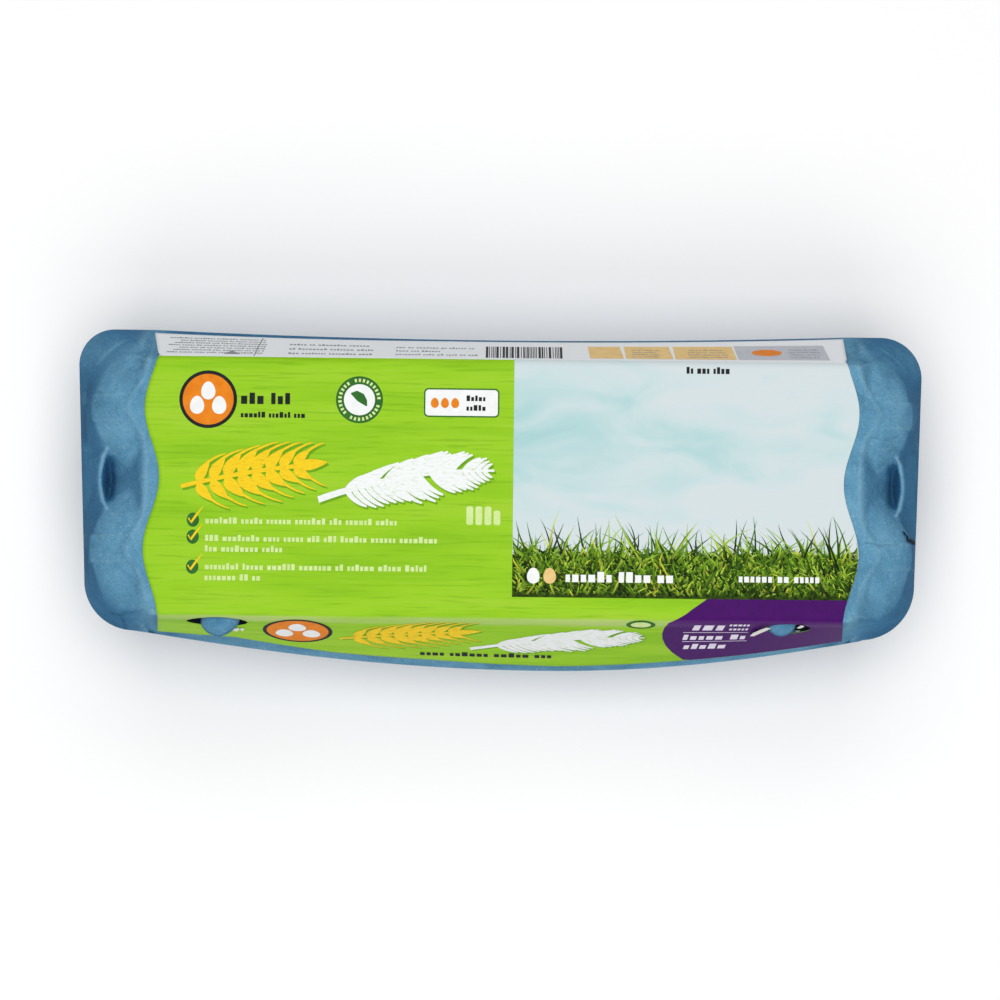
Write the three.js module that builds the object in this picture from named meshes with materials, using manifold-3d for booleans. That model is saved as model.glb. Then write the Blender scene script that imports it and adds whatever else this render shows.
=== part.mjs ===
// A shut carton of moulded pulp for twelve eggs, two rows of six, with a printed paper label
// folded over its lid. Millimetres, +Z up, the floor at z = 0, the long side along X and the
// latched front toward -Y. The carton is solid, because a shut one can't be seen into.
import * as THREE from "three";
import { mergeVertices } from "three/addons/utils/BufferGeometryUtils.js";
import Module from "manifold-3d";

const wasm = await Module();
wasm.setup();

// Plan, measured from the middle of the cups. Soft pulp dries a little out of true, so the two
// ends have values of their own.
const leftEnd = {
  side: -1, length: 152.5, taper: 3.2, frontRadius: 18, backRadius: 12.8, topReach: 126.5,
};
const rightEnd = {
  side: 1, length: 151.1, taper: 2.5, frontRadius: 19.5, backRadius: 15, topReach: 127.5,
};
const taperStart = 42; // an end draws in from this y ...
const taperRun = 82; // ... over this far towards the front
const halfWidth = 54.5; // to the rim at the corners
const cornerX = 132; // where the front's corners start
const frontPinch = 0.35; // how far the front stands back in the middle, and twice that at the left
const frontBulge = 12.6; // how far the front bows out
const bulgeCentre = 15;
const bulgePower = 1.08;
const backHollow = 2.5; // how far the back bows in
const backHollowHalf = 125;
const frontFold = -48.4; // the two straight folds that bound the flat top
const backFold = 42.5;
const foldRoom = 2.5; // from a fold to where the top is flat
const topHalf = 121.5; // to where the flat top ends between the eggs
const topCorner = 2; // how much shorter it is along the folds

// The middle of the bounding box, which is the origin, is this far from the middle of the cups.
const frontMost = -halfWidth + frontPinch * (1 - bulgeCentre / cornerX) - frontBulge;
const boxShift = [(leftEnd.length - rightEnd.length) / 2, -(halfWidth + frontMost) / 2, 0];

// Heights.
const boxTop = 70;
const labelThick = 0.4;
const labelGap = 0.3;
const lidTop = boxTop - labelThick - labelGap;
const seamHeight = 42;
const seamDip = 12.5; // the seam is this much lower in the middle of the front
const seamDipHalf = 130;
const lipHeight = 2.8; // the upright edge of the lid above the seam
const seamHalf = 0.4; // half of the gap between lid and tray
const seamDepth = 4; // how far in the gap goes
const seamTaper = 0.25; // how much each side closes in by there
const hingeOverlap = 0.7; // at the hinge the two are one piece
const hingeHalf = 126; // the hinge's half length, and the length in which the gap opens past it
const hingeRun = 16;
const lidUnderside = -1.6; // under the seam, inside the tray
const flangeThick = 2.6;
const flangeStep = 0.6; // the tray's rim is this much smaller than the lid's

// The eggs' pitch, and the lobes that the lid has over the four end eggs. A lobe falls away from
// its middle by lobeFall times the distance squared and lobeFallFar times its fourth power.
const pitchX = 48.6;
const pitchY = 50;
const lobeX = 2.5 * pitchX;
const lobeY = pitchY / 2;
const lobeCrown = 0.6; // over the flat top, which cuts it off
const lobeFall = 0.0088;
const lobeFallFar = 1.15e-5;
const lobeFlatBy = { valley: 33, corner: 27.5 }; // from this far out a lobe falls no further
const lobeBlend = 2.5; // softness of the valley between two lobes
const brink = { end: 24.2, front: 27, back: 25.8 }; // where the outer wall takes over from a lobe
const bandHalf = 5.1; // the flat band that runs down the middle of a lobe
const bandSink = 0.1;
const bandReach = 0.8; // how much further out its brink lies
const edgeRound = 2.2; // how softly wall and top meet on the long faces, and at the ends
const endRound = 1.5;

// The flat top reaches further out along each egg than between them, ends in a bead and slopes
// down to the valley. Towards the two folds its edge draws back in.
const reachWave = 6;
const reachWaveHalf = 8;
const reachFront = { from: 39, run: 14, draw: 4.5 };
const reachBack = { from: 36, run: 10, draw: 1 };
const panelSlope = 1.3;
const beadHeight = 0.25;
const beadHalf = 1.1;

// Past the paper's ends the lobes come up through the two sloping faces.
const bareFrom = 125;
const bareRun = 2;

// The lip across the foot of the valley between two lobes, and the pocket behind it.
const lipU = 143.4;
const lipCurve = 0.022;
const lipHeightMiddle = 57.8;
const lipRise = 0.045;
const lipWide = 1.7;
const lipSlope = 2.4;
const lipHalf = 10;
const pocketU = 139.6;
const pocketWide = 2.4;
const pocketHalf = 8.5;
const pocketDepth = 5;

// The tray: cup outsides as radius and height from the foot up, the hollow under each post, and
// the apron that slopes in under the flange.
const cupProfile = [[0, 0], [11.6, 0], [14, 1.2], [17.6, 8.5], [20.9, 18], [23.4, 34], [0, 34]];
const postProfile = [[0, -1], [8.8, -1], [8.8, 20], [6.4, 34], [3.6, 46], [0, 46]];
const cupSides = 18;
const postSides = 12;
const apronReach = 6; // how far in from the rim it runs
const apronSlope = 0.3;
const apronLow = 25.5;
const blockReach = 6.5; // from there to the block between the cups, and that block's underside
const blockLow = 28;

// Latches: an oval window in the front face and the pulp button that comes through it.
const latchX = 100;
const windowHalf = [10.75, 4.3];
const windowZ = 64.1;
const windowDepth = -46.4; // y of the window's bottom
const leftButton = { half: [6.9, 5.5, 3.9], centre: [-98.9, -50.3, 63.8] };
const rightButton = { half: [5.2, 4.6, 3.7], centre: [99.6, -48.9, 64.2] };
const roundSides = 20;
const farOut = -75; // y of a cutter's outer end, clear of the front
const farIn = -40; // y of its inner end where it goes right through the paper

// The paper: a wave along each end, longer at its two lower edges, with a strip of the lid bare
// under each of those. The strips are pairs of x and width.
const reachMiddle = 123.5;
const reachSwing = 2.7;
const frontFlare = { left: 1.6, right: 1.6 };
const backFlare = { left: 3, right: 0.4 };
const frontStrip = [[-122, 1.5], [-95, 3.6], [-60, 2.5], [-25, 2.8], [20, 2], [55, 2.2], [80, 2],
  [122, 1.6]];
const backStrip = [[-122, 1.8], [-60, 1.6], [-20, 0.9], [122, 0.7]];

const { clamp, lerp } = THREE.MathUtils;
const smooth = (v) => THREE.MathUtils.smoothstep(v, 0, 1);
const bump = (v, width) => Math.exp(-((v / width) ** 2));
const softMin = (a, b, k) => {
  const h = Math.max(k - Math.abs(a - b), 0) / k;
  return Math.min(a, b) - (h * h * k) / 4;
};
const softMax = (a, b, k) => -softMin(-a, -b, k);

// Linear interpolation in a list of [key, value] pairs.
function between(pairs, v) {
  let i = 1;
  while (i < pairs.length - 1 && v > pairs[i][0]) i += 1;
  const [a, b] = [pairs[i - 1], pairs[i]];
  return lerp(a[1], b[1], clamp((v - a[0]) / (b[0] - a[0]), 0, 1));
}

// The rim in plan, and the height of the seam at it.
function frontY(x) {
  const off = x - bulgeCentre;
  const reach = cornerX - bulgeCentre * Math.sign(off);
  const bow = Math.max(0, 1 - (off / reach) ** 2) ** bulgePower;
  return -halfWidth + frontPinch * (1 - x / cornerX) - frontBulge * bow;
}
const backY = (x) => halfWidth - backHollow * Math.max(0, 1 - (x / backHollowHalf) ** 2);
const endX = (end, y) => end.length - end.taper * clamp((taperStart - y) / taperRun, 0, 1);
const seamZ = ([x, y]) => seamHeight - (y < 0 ? seamDip * Math.max(0, 1 - (x / seamDipHalf) ** 2) : 0);

// Height of a long face of the lid, which is straight from its lip to the fold.
function faceHeight(x, y) {
  const [rimY, fold] = y < 0 ? [frontY(x), frontFold] : [backY(x), backFold];
  const low = seamZ([x, rimY]) + lipHeight;
  return low + ((lidTop - low) * (rimY - y)) / (rimY - fold);
}

const lobeDrop = (squared) => lobeFall * squared + lobeFallFar * squared ** 2;

// Height of the flat top and of the slope past its edge, and of the bead along the edge.
function panelHeight(x, y, across) {
  const draw = ({ from, run, draw: most }) => most * smooth((Math.abs(y) - from) / run);
  const reach = (x < 0 ? leftEnd : rightEnd).topReach - draw(y < 0 ? reachFront : reachBack);
  const beyond = Math.abs(x) - reach - reachWave * bump(across, reachWaveHalf);
  const bead = beadHeight * bump(beyond + 1, beadHalf) * smooth((across - 4) / 5);
  const panel = softMin(faceHeight(x, y), lidTop, edgeRound);
  return [panel - panelSlope * softMax(beyond, 0, 1.5), bead];
}

// Height of the two lobes of an end, with a flat band down the middle of each.
function lobeHeight(u, y, across) {
  const out = Math.max(0, u - lobeX);
  const onBand = across < bandHalf;
  const squared = out ** 2 + (onBand ? 0 : across) ** 2;
  const flatBy = lerp(lobeFlatBy.valley, lobeFlatBy.corner, smooth((Math.abs(y) - 12) / 12));
  const underPaper = smooth((bareFrom + bareRun - u) / bareRun) * smooth((Math.abs(y) - 34) / 6);
  const near = -lobeDrop(Math.min(squared, flatBy ** 2)) - (onBand ? bandSink : 0) - 20 * underPaper;
  const far = -lobeDrop(out ** 2 + (Math.abs(y) + lobeY) ** 2);
  return softMin(lidTop + lobeCrown + softMax(near, far, lobeBlend), lidTop, 1.5);
}

// Height of the lid's ends at a plan point, before the outer wall cuts it off: the flat top, the
// lobes and, across the foot of the valley between them, the lip with its pocket.
function endHeight(x, y) {
  const u = Math.abs(x);
  const across = Math.abs(Math.abs(y) - lobeY);
  const bow = lipCurve * y * y;
  const pocket = bump(u - pocketU + bow, pocketWide) * smooth((pocketHalf - Math.abs(y)) / 4);
  const [panel, bead] = panelHeight(x, y, across);
  const ground = Math.min(lidTop, softMax(panel, lobeHeight(u, y, across), 1.6));
  const z = ground + bead - pocketDepth * pocket;
  const inside = Math.max(0, lipU - bow - lipWide - u);
  const lip = lipHeightMiddle + lipRise * Math.min(y * y, 150) - lipSlope * inside
    - 40 * smooth((Math.abs(y) - lipHalf) / 8);
  return softMax(z, lip, 1.6);
}

// Slope of the outer wall at a station: up to where its way in meets a lobe or the lip.
function wallSlope({ out: [x, y], inner }) {
  const across = Math.abs(Math.abs(y) - lobeY);
  const length = Math.hypot(inner[0] - x, inner[1] - y);
  const way = [(inner[0] - x) / length, (inner[1] - y) / length];
  const centre = [Math.sign(x) * Math.min(Math.abs(x), lobeX), y < 0 ? -lobeY : lobeY];
  const band = across < bandHalf + 0.5 && Math.abs(x) > 145 ? bandReach : 0;
  const toFace = smooth((Math.abs(y) - 32) / 16);
  const radius = lerp(brink.end, y < 0 ? brink.front : brink.back, toFace) + band;
  const off = [x - centre[0], y - centre[1]];
  const along = off[0] * way[0] + off[1] * way[1];
  const root = along ** 2 - off[0] ** 2 - off[1] ** 2 + radius ** 2;
  const toLobe = root > 0 ? -along - Math.sqrt(root) : length;
  const toLip = Math.abs(y) < 16 ? Math.abs(x) - lipU + lipCurve * y * y : length;
  const lobeTop = lidTop + lobeCrown - lobeDrop(radius ** 2);
  const lipTop = lipHeightMiddle + lipRise * y * y;
  const height = Math.min(lobeTop, lerp(lipTop, lobeTop, smooth((toLip - toLobe + 2) / 4)));
  return (height - seamZ([x, y]) - lipHeight) / Math.max(2, softMin(toLobe, toLip, 2));
}

// The stations along the long faces between the corners, as x, and along the ends, as y. They are
// close where the paper ends, and where the bands, the brinks and the pocket have their edges.
const evenXs = Array.from({ length: 15 }, (_, i) => (i - 7) * 17);
const faceXs = [-135.5, -131.5, -129, -127, -125, ...evenXs, 125, 127, 129, 131.5, 135.5];
const innerYs = [-30.5, -29.9, -26.5, -23.3, -20.1, -19.5, -17, -14, -11.5, -9, -7, -5, -2.6, 0,
  2.6, 5, 7, 9, 11.5, 14, 17, 19.5, 20.1, 23.3, 26.5, 29.9, 30.5];
const cornerSteps = 5;

// Stations round the rim, anticlockwise from above. Each has its rim point, the point of the
// flat top that it leads in to, and how far it has turned from end (0) to long face (1).
function rimStations() {
  const stations = [];
  const innerY = { front: frontFold + foldRoom, back: backFold - foldRoom };
  const squeezeFrom = 30; // from here on the back of an end is drawn in to the flat top's edge
  const add = (out, inner, turn) => stations.push({ out, inner, turn });
  const inY = (y) => {
    const share = (y - squeezeFrom) / (taperStart - squeezeFrom);
    return y < squeezeFrom ? y : lerp(squeezeFrom, innerY.back - 1, share);
  };
  // A corner's radius and the y where it meets the end.
  const cornerOf = (end, face) => {
    const radius = face < 0 ? end.frontRadius : end.backRadius;
    const width = face < 0 ? -frontY(end.side * cornerX) : halfWidth;
    return { radius, width, edgeY: face * (width - radius) };
  };
  const addCorner = (end, face, from, to) => {
    const { radius, width, edgeY } = cornerOf(end, face);
    const centreX = endX(end, edgeY) - radius;
    const target = face < 0 ? innerY.front : innerY.back;
    for (let i = 1; i < cornerSteps; i += 1) {
      const t = lerp(from, to, i / cornerSteps); // 0 at the end, 1 at the long face
      const angle = (t * Math.PI) / 2;
      const x = centreX + radius * Math.cos(angle);
      const y = face * (width - radius + radius * Math.sin(angle));
      const inner = [topHalf - Math.max(0, t * 2 - 1) * topCorner,
        lerp(inY(edgeY), target, Math.min(1, t * 2))];
      add([end.side * x, y], [end.side * inner[0], inner[1]], t);
    }
  };
  const addEnd = (end) => {
    const [low, high] = [cornerOf(end, -1).edgeY, cornerOf(end, 1).edgeY];
    const first = innerYs[0];
    const last = innerYs[innerYs.length - 1];
    const ys = [low, lerp(low, first, 0.5), ...innerYs, lerp(last, high, 0.5), high];
    if (end.side < 0) ys.reverse();
    for (const y of ys) add([end.side * endX(end, y), y], [end.side * topHalf, inY(y)], 0);
  };
  const addFace = (face) => {
    const span = (end) => endX(end, face * 40) - cornerOf(end, face).radius;
    const [left, right] = [-span(leftEnd), span(rightEnd)];
    const xs = [left, ...faceXs.filter((x) => x > left + 1 && x < right - 1), right];
    for (const x of face < 0 ? xs : xs.reverse()) {
      const innerX = lerp(-1, 1, (x - left) / (right - left)) * (topHalf - topCorner);
      if (face < 0) add([x, frontY(x)], [innerX, innerY.front], 1);
      else add([x, backY(x)], [innerX, innerY.back], 1);
    }
  };
  addFace(-1);
  addCorner(rightEnd, -1, 1, 0);
  addEnd(rightEnd);
  addCorner(rightEnd, 1, 0, 1);
  addFace(1);
  addCorner(leftEnd, 1, 1, 0);
  addEnd(leftEnd);
  addCorner(leftEnd, -1, 0, 1);
  return stations;
}

const stations = rimStations();
const wayIn = ({ out, inner }) => Math.hypot(inner[0] - out[0], inner[1] - out[1]);

// The point a share of the way from a station's rim point to its inner point.
const inwards = ({ out, inner }, share) => [0, 1].map((c) => lerp(out[c], inner[c], share));

// How far in from the rim each ring of the lid lies: as shares of the way at the ends, and on
// the long faces as shares of the way to the fold, then millimetres past it.
const endRings = [0, 1.6, 3.3, 5.2, 7, 8.8, 10.3, 11.9, 13.4, 16.5, 20, 24, 27, 29.6];
const faceRings = [0, 0.1, 0.2, 0.3, 0.4, 0.5, 0.6, 0.7, 0.8, 0.9];
const foldRings = [-0.45, 0, 1.1, foldRoom];

function ringShare({ out, inner, turn }, k) {
  const wide = Math.max(foldRoom, Math.abs(inner[1] - out[1]));
  const fold = 1 - foldRoom / wide;
  const past = foldRings[k - faceRings.length] / wide;
  const faceShare = k < faceRings.length ? faceRings[k] * fold : fold + past;
  const endShare = endRings[k] / endRings[endRings.length - 1];
  return lerp(endShare, faceShare, smooth(turn));
}

// Height of the outer wall at a station: straight to the fold on a long face, and up to the
// lobes at an end and past the paper. There the flat top has the face in its own height.
function wallHeight(station, share, x, y) {
  const wall = seamZ(station.out) + lipHeight + wallSlope(station) * wayIn(station) * share;
  if (station.turn < 1) return wall;
  const clear = Math.abs(x) > topHalf - topCorner ? edgeRound : 0;
  return lerp(faceHeight(x, y) + clear, wall, smooth((Math.abs(x) - bareFrom) / bareRun));
}

function lidPoint(station, k) {
  const share = ringShare(station, k);
  const [x, y] = inwards(station, share);
  const top = Math.abs(x) > topHalf - topCorner ? endHeight(x, y) : lidTop;
  const round = lerp(endRound, edgeRound, station.turn);
  return [x, y, softMin(wallHeight(station, share, x, y), top, round)];
}

// A manifold solid from a geometry's positions, with shared points made one.
function solid(geometry) {
  geometry.deleteAttribute("normal");
  geometry.deleteAttribute("uv");
  const merged = mergeVertices(geometry, 1e-4);
  return new wasm.Manifold(new wasm.Mesh({
    numProp: 3,
    vertProperties: merged.attributes.position.array,
    triVerts: new Uint32Array(merged.index.array),
  }));
}

function meshOf(points, index) {
  const geometry = new THREE.BufferGeometry();
  geometry.setAttribute("position", new THREE.Float32BufferAttribute(points.flat(), 3));
  geometry.setIndex(index);
  return geometry;
}

// A closed body through loops of points, each with as many points as the next, from the
// lowest to the highest, with a fan of triangles over each end.
function loft(loops) {
  const n = loops[0].length;
  const points = loops.flat();
  const middle = (loop) => [0, 1, 2].map((c) => loop.reduce((s, p) => s + p[c], 0) / n);
  points.push(middle(loops[0]), middle(loops[loops.length - 1]));
  const index = [];
  for (let k = 0; k < loops.length - 1; k += 1) {
    for (let i = 0; i < n; i += 1) {
      const j = (i + 1) % n;
      const [a, b, c, d] = [k * n + i, k * n + j, (k + 1) * n + j, (k + 1) * n + i];
      index.push(a, b, c, a, c, d);
    }
  }
  const top = (loops.length - 1) * n;
  for (let i = 0; i < n; i += 1) {
    const j = (i + 1) % n;
    index.push(points.length - 2, j, i, points.length - 1, top + i, top + j);
  }
  return solid(meshOf(points, index));
}

// A body turned about a vertical axis at x, y.
function turned(profile, sides, x, y) {
  const outline = profile.map(([radius, height]) => new THREE.Vector2(radius, height));
  return solid(new THREE.LatheGeometry(outline, sides).rotateX(Math.PI / 2).translate(x, y, 0));
}

// Half of the gap at the seam. At the back lid and tray are one piece, bent at the hinge.
function seamGap({ out: [x, y] }) {
  return y > 0 ? lerp(-hingeOverlap, seamHalf, smooth((Math.abs(x) - hingeHalf) / hingeRun)) : seamHalf;
}

// A loop round the rim, each station at a way in of its own and a height worked out from that.
const loopAt = (reachOf, heightOf) => stations.map((s) => {
  const reach = reachOf(s);
  return [...inwards(s, reach / wayIn(s)), heightOf(s, reach)];
});
const rimLoop = (over, inset) => loopAt(() => inset, (s) => seamZ(s.out) + over(s));

function makeLid() {
  return loft([
    rimLoop(() => lidUnderside, seamDepth),
    rimLoop((s) => seamGap(s) - seamTaper, seamDepth),
    rimLoop(seamGap, 0),
    ...endRings.map((_, k) => stations.map((s) => lidPoint(s, k))),
  ]);
}

// The tray: a flange, an apron that slopes in under it to the block between the cups, the
// cups' outsides down to their feet, and a recess under each post.
function makeTray() {
  const apronEnd = (s) => Math.max(apronReach, lerp(apronReach, Math.abs(s.out[1]) - 48, s.turn));
  const underFlange = (s) => seamZ(s.out) - seamHalf - flangeThick;
  let tray = loft([
    loopAt((s) => apronEnd(s) + blockReach, () => blockLow),
    loopAt(apronEnd, (s, reach) => Math.max(apronLow, underFlange(s) - apronSlope * reach)),
    rimLoop(() => -seamHalf - flangeThick, flangeStep),
    rimLoop((s) => -seamGap(s), flangeStep),
    rimLoop((s) => seamTaper - seamGap(s), seamDepth + 0.2),
  ]);
  for (let column = -2.5; column <= 2.5; column += 1) {
    for (const side of [-1, 1]) {
      tray = tray.add(turned(cupProfile, cupSides, column * pitchX, side * lobeY));
    }
  }
  for (let column = -2; column <= 2; column += 1) {
    tray = tray.subtract(turned(postProfile, postSides, column * pitchX, 0));
  }
  return tray;
}

// An oval bar along Y, which cuts a latch window from a given depth out past the front face.
function windowBar(side, back) {
  const bar = new THREE.CylinderGeometry(1, 1, back - farOut, roundSides);
  bar.scale(windowHalf[0], 1, windowHalf[1]);
  return solid(bar.translate(side * latchX, (back + farOut) / 2, windowZ));
}

function makeButton({ half, centre }) {
  const button = new THREE.SphereGeometry(1, roundSides, roundSides / 2);
  return solid(button.scale(...half).translate(...centre));
}

const labelReach = (y) => {
  const wave = Math.cos((2 * Math.PI * (Math.abs(y) - lobeY)) / pitchY);
  return reachMiddle + reachSwing * wave;
};

// One row of the paper over the lid, at a share of the way to its ends: [x, y, z, normal y,
// normal z] from the back edge over the top to the front edge.
function labelRow(f) {
  // One side from its edge to the fold; t is 0 at the edge and 1 just before the fold.
  const flank = (side, fold, rim, strip, flare) => {
    const onFace = (t) => {
      const x = f * (labelReach(fold) + (f < 0 ? flare.left : flare.right) * (1 - t));
      const rimY = rim(x);
      const plan = Math.abs(rimY - fold);
      const rise = lidTop - faceHeight(x, rimY);
      const length = Math.hypot(plan, rise);
      const y = rimY - side * lerp(between(strip, x), plan - 1.2, t);
      const z = softMin(faceHeight(x, y), lidTop, edgeRound);
      return [x, y, z, (side * rise) / length, plan / length];
    };
    const near = onFace(1);
    const half = Math.hypot(near[3], 1 + near[4]);
    const atFold = (y, ny, nz) => {
      return [near[0], y, softMin(faceHeight(near[0], y), lidTop, edgeRound), ny, nz];
    };
    const inside = fold - side * foldRoom;
    return [
      ...[0, 0.33, 0.67, 1].map(onFace),
      atFold(fold, near[3] / half, (1 + near[4]) / half),
      atFold(fold - side * 1.1, side * 0.12, 0.993),
      [f * labelReach(inside), inside, lidTop, 0, 1],
    ];
  };
  const back = flank(1, backFold, backY, backStrip, backFlare);
  const front = flank(-1, frontFold, frontY, frontStrip, frontFlare);
  const top = [33, 25, 17, 9, 0, -9, -17, -25, -33, -40]
    .map((y) => [f * labelReach(y), y, lidTop, 0, 1]);
  return [...back, ...top, ...front.reverse()];
}

// The sheet between its inner and outer faces, which are grids of points, and its four edges.
function makeLabel() {
  const columns = Array.from({ length: 19 }, (_, i) => (i - 9) / 9);
  const face = (off) => columns.map((f) => labelRow(f)
    .map(([x, y, z, ny, nz]) => [x, y + ny * off, z + nz * off]));
  const outer = face(labelGap + labelThick);
  const [rows, across] = [outer.length, outer[0].length];
  const low = rows * across;
  const points = [...outer.flat(), ...face(labelGap).flat()];
  const at = (i, j) => i * across + j;
  const index = [];
  const quad = (a, b, c, d) => index.push(a, b, c, a, c, d);
  const wall = (a, b) => quad(a, b, low + b, low + a);
  for (let i = 0; i < rows - 1; i += 1) {
    for (let j = 0; j < across - 1; j += 1) {
      const [a, b, c, d] = [at(i, j), at(i, j + 1), at(i + 1, j + 1), at(i + 1, j)];
      quad(a, b, c, d);
      quad(low + d, low + c, low + b, low + a);
    }
    wall(at(i, 0), at(i + 1, 0));
    wall(at(i + 1, across - 1), at(i, across - 1));
  }
  for (let j = 0; j < across - 1; j += 1) {
    wall(at(0, j + 1), at(0, j));
    wall(at(rows - 1, j), at(rows - 1, j + 1));
  }
  return solid(meshOf(points, index));
}

let carton = makeTray().add(makeLid());
let label = makeLabel();
for (const [side, button] of [[-1, leftButton], [1, rightButton]]) {
  carton = carton.subtract(windowBar(side, windowDepth)).add(makeButton(button));
  label = label.subtract(windowBar(side, farIn));
}

function toMesh(name, body, color) {
  const made = body.translate(boxShift).getMesh();
  const geometry = new THREE.BufferGeometry();
  geometry.setAttribute("position", new THREE.Float32BufferAttribute(made.vertProperties, 3));
  geometry.setIndex(new THREE.BufferAttribute(made.triVerts, 1));
  geometry.computeVertexNormals();
  const material = new THREE.MeshStandardMaterial({ color, roughness: 0.9, metalness: 0 });
  const mesh = new THREE.Mesh(geometry, material);
  mesh.name = name;
  return mesh;
}

const part = new THREE.Group();
part.add(toMesh("carton", carton, 0x5f97b8));
part.add(toMesh("label", label, 0xa3d233));
export default part;
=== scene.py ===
import functools
import itertools
import math
import random

import bmesh
import bpy
import numpy as np
from mathutils import Matrix, Vector
from mathutils.geometry import tessellate_polygon


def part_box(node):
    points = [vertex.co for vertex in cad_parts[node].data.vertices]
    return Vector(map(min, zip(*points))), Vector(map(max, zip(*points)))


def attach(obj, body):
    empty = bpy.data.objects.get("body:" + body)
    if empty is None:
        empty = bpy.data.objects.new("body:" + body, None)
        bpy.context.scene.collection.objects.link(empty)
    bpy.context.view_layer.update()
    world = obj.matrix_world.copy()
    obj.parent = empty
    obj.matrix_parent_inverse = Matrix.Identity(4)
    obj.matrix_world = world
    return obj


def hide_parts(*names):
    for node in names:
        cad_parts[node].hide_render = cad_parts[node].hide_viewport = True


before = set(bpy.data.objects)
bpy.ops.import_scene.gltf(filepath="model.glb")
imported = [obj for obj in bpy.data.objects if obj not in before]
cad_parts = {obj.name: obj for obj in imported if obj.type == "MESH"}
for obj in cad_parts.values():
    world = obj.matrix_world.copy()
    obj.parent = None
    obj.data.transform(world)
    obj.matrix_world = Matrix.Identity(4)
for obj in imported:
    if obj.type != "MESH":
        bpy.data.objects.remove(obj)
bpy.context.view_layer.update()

# Shapes are worked out in millimetres and turned to metres when their mesh is made.
cartonLow, cartonHigh = [1000 * np.array(corner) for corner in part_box("carton")]


# Goes from 0 to 1 as v does, and is level at both ends.
def smooth(v):
    t = np.clip(v, 0, 1)
    return t * t * (3 - 2 * t)


def mix(a, b, t):
    return a + (b - a) * t


def bump(v, width):
    return np.exp(-(v / width) ** 2)


def softMin(a, b, k):
    h = np.maximum(k - np.abs(a - b), 0) / k
    return np.minimum(a, b) - h * h * k / 4


def softMax(a, b, k):
    return -softMin(-a, -b, k)


scatter = (374761393, 668265263, 1274126177)      # large primes that scramble a cell's number


# Smooth random height from -1 to 1 at points, with hills about one cell wide.
def uneven(points, cell, seed):
    q = np.asarray(points, float) / cell
    base = np.floor(q).astype(np.int64)
    f = smooth(q - base)
    total = np.zeros(q.shape[:-1])
    for corner in itertools.product((0, 1), repeat=q.shape[-1]):
        at = base + np.array(corner)
        h = seed * 974711 + sum(at[..., i] * scatter[i] for i in range(q.shape[-1]))
        h = h & 0xFFFFFFFF
        h = ((h ^ (h >> 13)) * scatter[2]) & 0xFFFFFFFF
        value = ((h ^ (h >> 16)) & 0xFFFF) / 32767.5 - 1
        total += value * np.prod(np.where(np.array(corner) == 1, f, 1 - f), axis=-1)
    return total


# A new object in the scene, for a mesh, lamp or camera.
def linked(name, data):
    made = bpy.data.objects.new(name, data)
    bpy.context.scene.collection.objects.link(made)
    return made


def makeObject(name, points, faces, material=None, flat=False):
    mesh = bpy.data.meshes.new(name)
    mesh.from_pydata((np.asarray(points, float) / 1000).tolist(), [], [list(map(int, f)) for f in faces])
    mesh.validate()
    mesh.update()
    if not flat:
        mesh.shade_smooth()
    if material:
        mesh.materials.append(material)
    return linked(name, mesh)


# Four-sided faces between loops of equally many points, closed round each loop.
def ringFaces(loops, count, first=0):
    k, i = np.meshgrid(np.arange(loops - 1), np.arange(count), indexing="ij")
    j = (i + 1) % count
    a, b = first + k * count + i, first + k * count + j
    return np.stack([a, b, b + count, a + count], -1).reshape(-1, 4)


# Four-sided faces of a grid with rows of equally many points.
def gridFaces(rows, across):
    i, j = np.meshgrid(np.arange(rows - 1), np.arange(across - 1), indexing="ij")
    a = i * across + j
    return np.stack([a, a + 1, a + across + 1, a + across], -1).reshape(-1, 4)


def readPoints(mesh):
    at = np.zeros(len(mesh.vertices) * 3, np.float32)
    mesh.vertices.foreach_get("co", at)
    return at.reshape(-1, 3).astype(float) * 1000


def writePoints(mesh, at):
    mesh.vertices.foreach_set("co", (at / 1000).astype(np.float32).ravel())
    mesh.update()


# The object's modifiers applied, as a plain mesh.
def applied(piece):
    depsgraph = bpy.context.evaluated_depsgraph_get()
    mesh = bpy.data.meshes.new_from_object(piece.evaluated_get(depsgraph))
    piece.modifiers.clear()
    piece.data = mesh
    return piece


# Marks of the moulded shape for its material, which paint shade: steep is 0 where the surface lies flat and 1
# where it stands, for painted shade on the steep walls; worn is 1 along a ridge, painted paler, and -1 down
# in a crease, for painted shade there; and torn is how far it is open, for the painted dark seen into it.
surface = dict(lyingTo=0.86, standingOver=0.45, ridge=6.4, spread=5)


def markSurface(mesh):
    at = readPoints(mesh)
    count = len(at)
    normals = np.zeros(count * 3, np.float32)
    mesh.vertices.foreach_get("normal", normals)
    normals = normals.reshape(-1, 3).astype(float)
    edges = np.zeros(len(mesh.edges) * 2, int)
    mesh.edges.foreach_get("vertices", edges)
    a, b = edges.reshape(-1, 2).T
    run = at[b] - at[a]
    apart = np.maximum((run ** 2).sum(1), 0.01)
    falls = np.bincount(a, -(run * normals[a]).sum(1) / apart, count)
    falls += np.bincount(b, (run * normals[b]).sum(1) / apart, count)
    ways = np.maximum(1, np.bincount(a, minlength=count) + np.bincount(b, minlength=count))
    worn = falls / ways
    for _ in range(surface["spread"]):
        worn = (worn + (np.bincount(a, worn[b], count) + np.bincount(b, worn[a], count)) / ways) / 2
    steep = smooth((surface["lyingTo"] - np.abs(normals[:, 2])) / surface["standingOver"])
    worn = np.clip(worn * surface["ridge"], -1, 1)
    for name, values in (("steep", steep), ("worn", worn), ("torn", np.zeros(count))):
        mark = mesh.attributes.new(name, "FLOAT", "POINT")
        mark.data.foreach_set("value", values.astype(np.float32))


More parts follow.
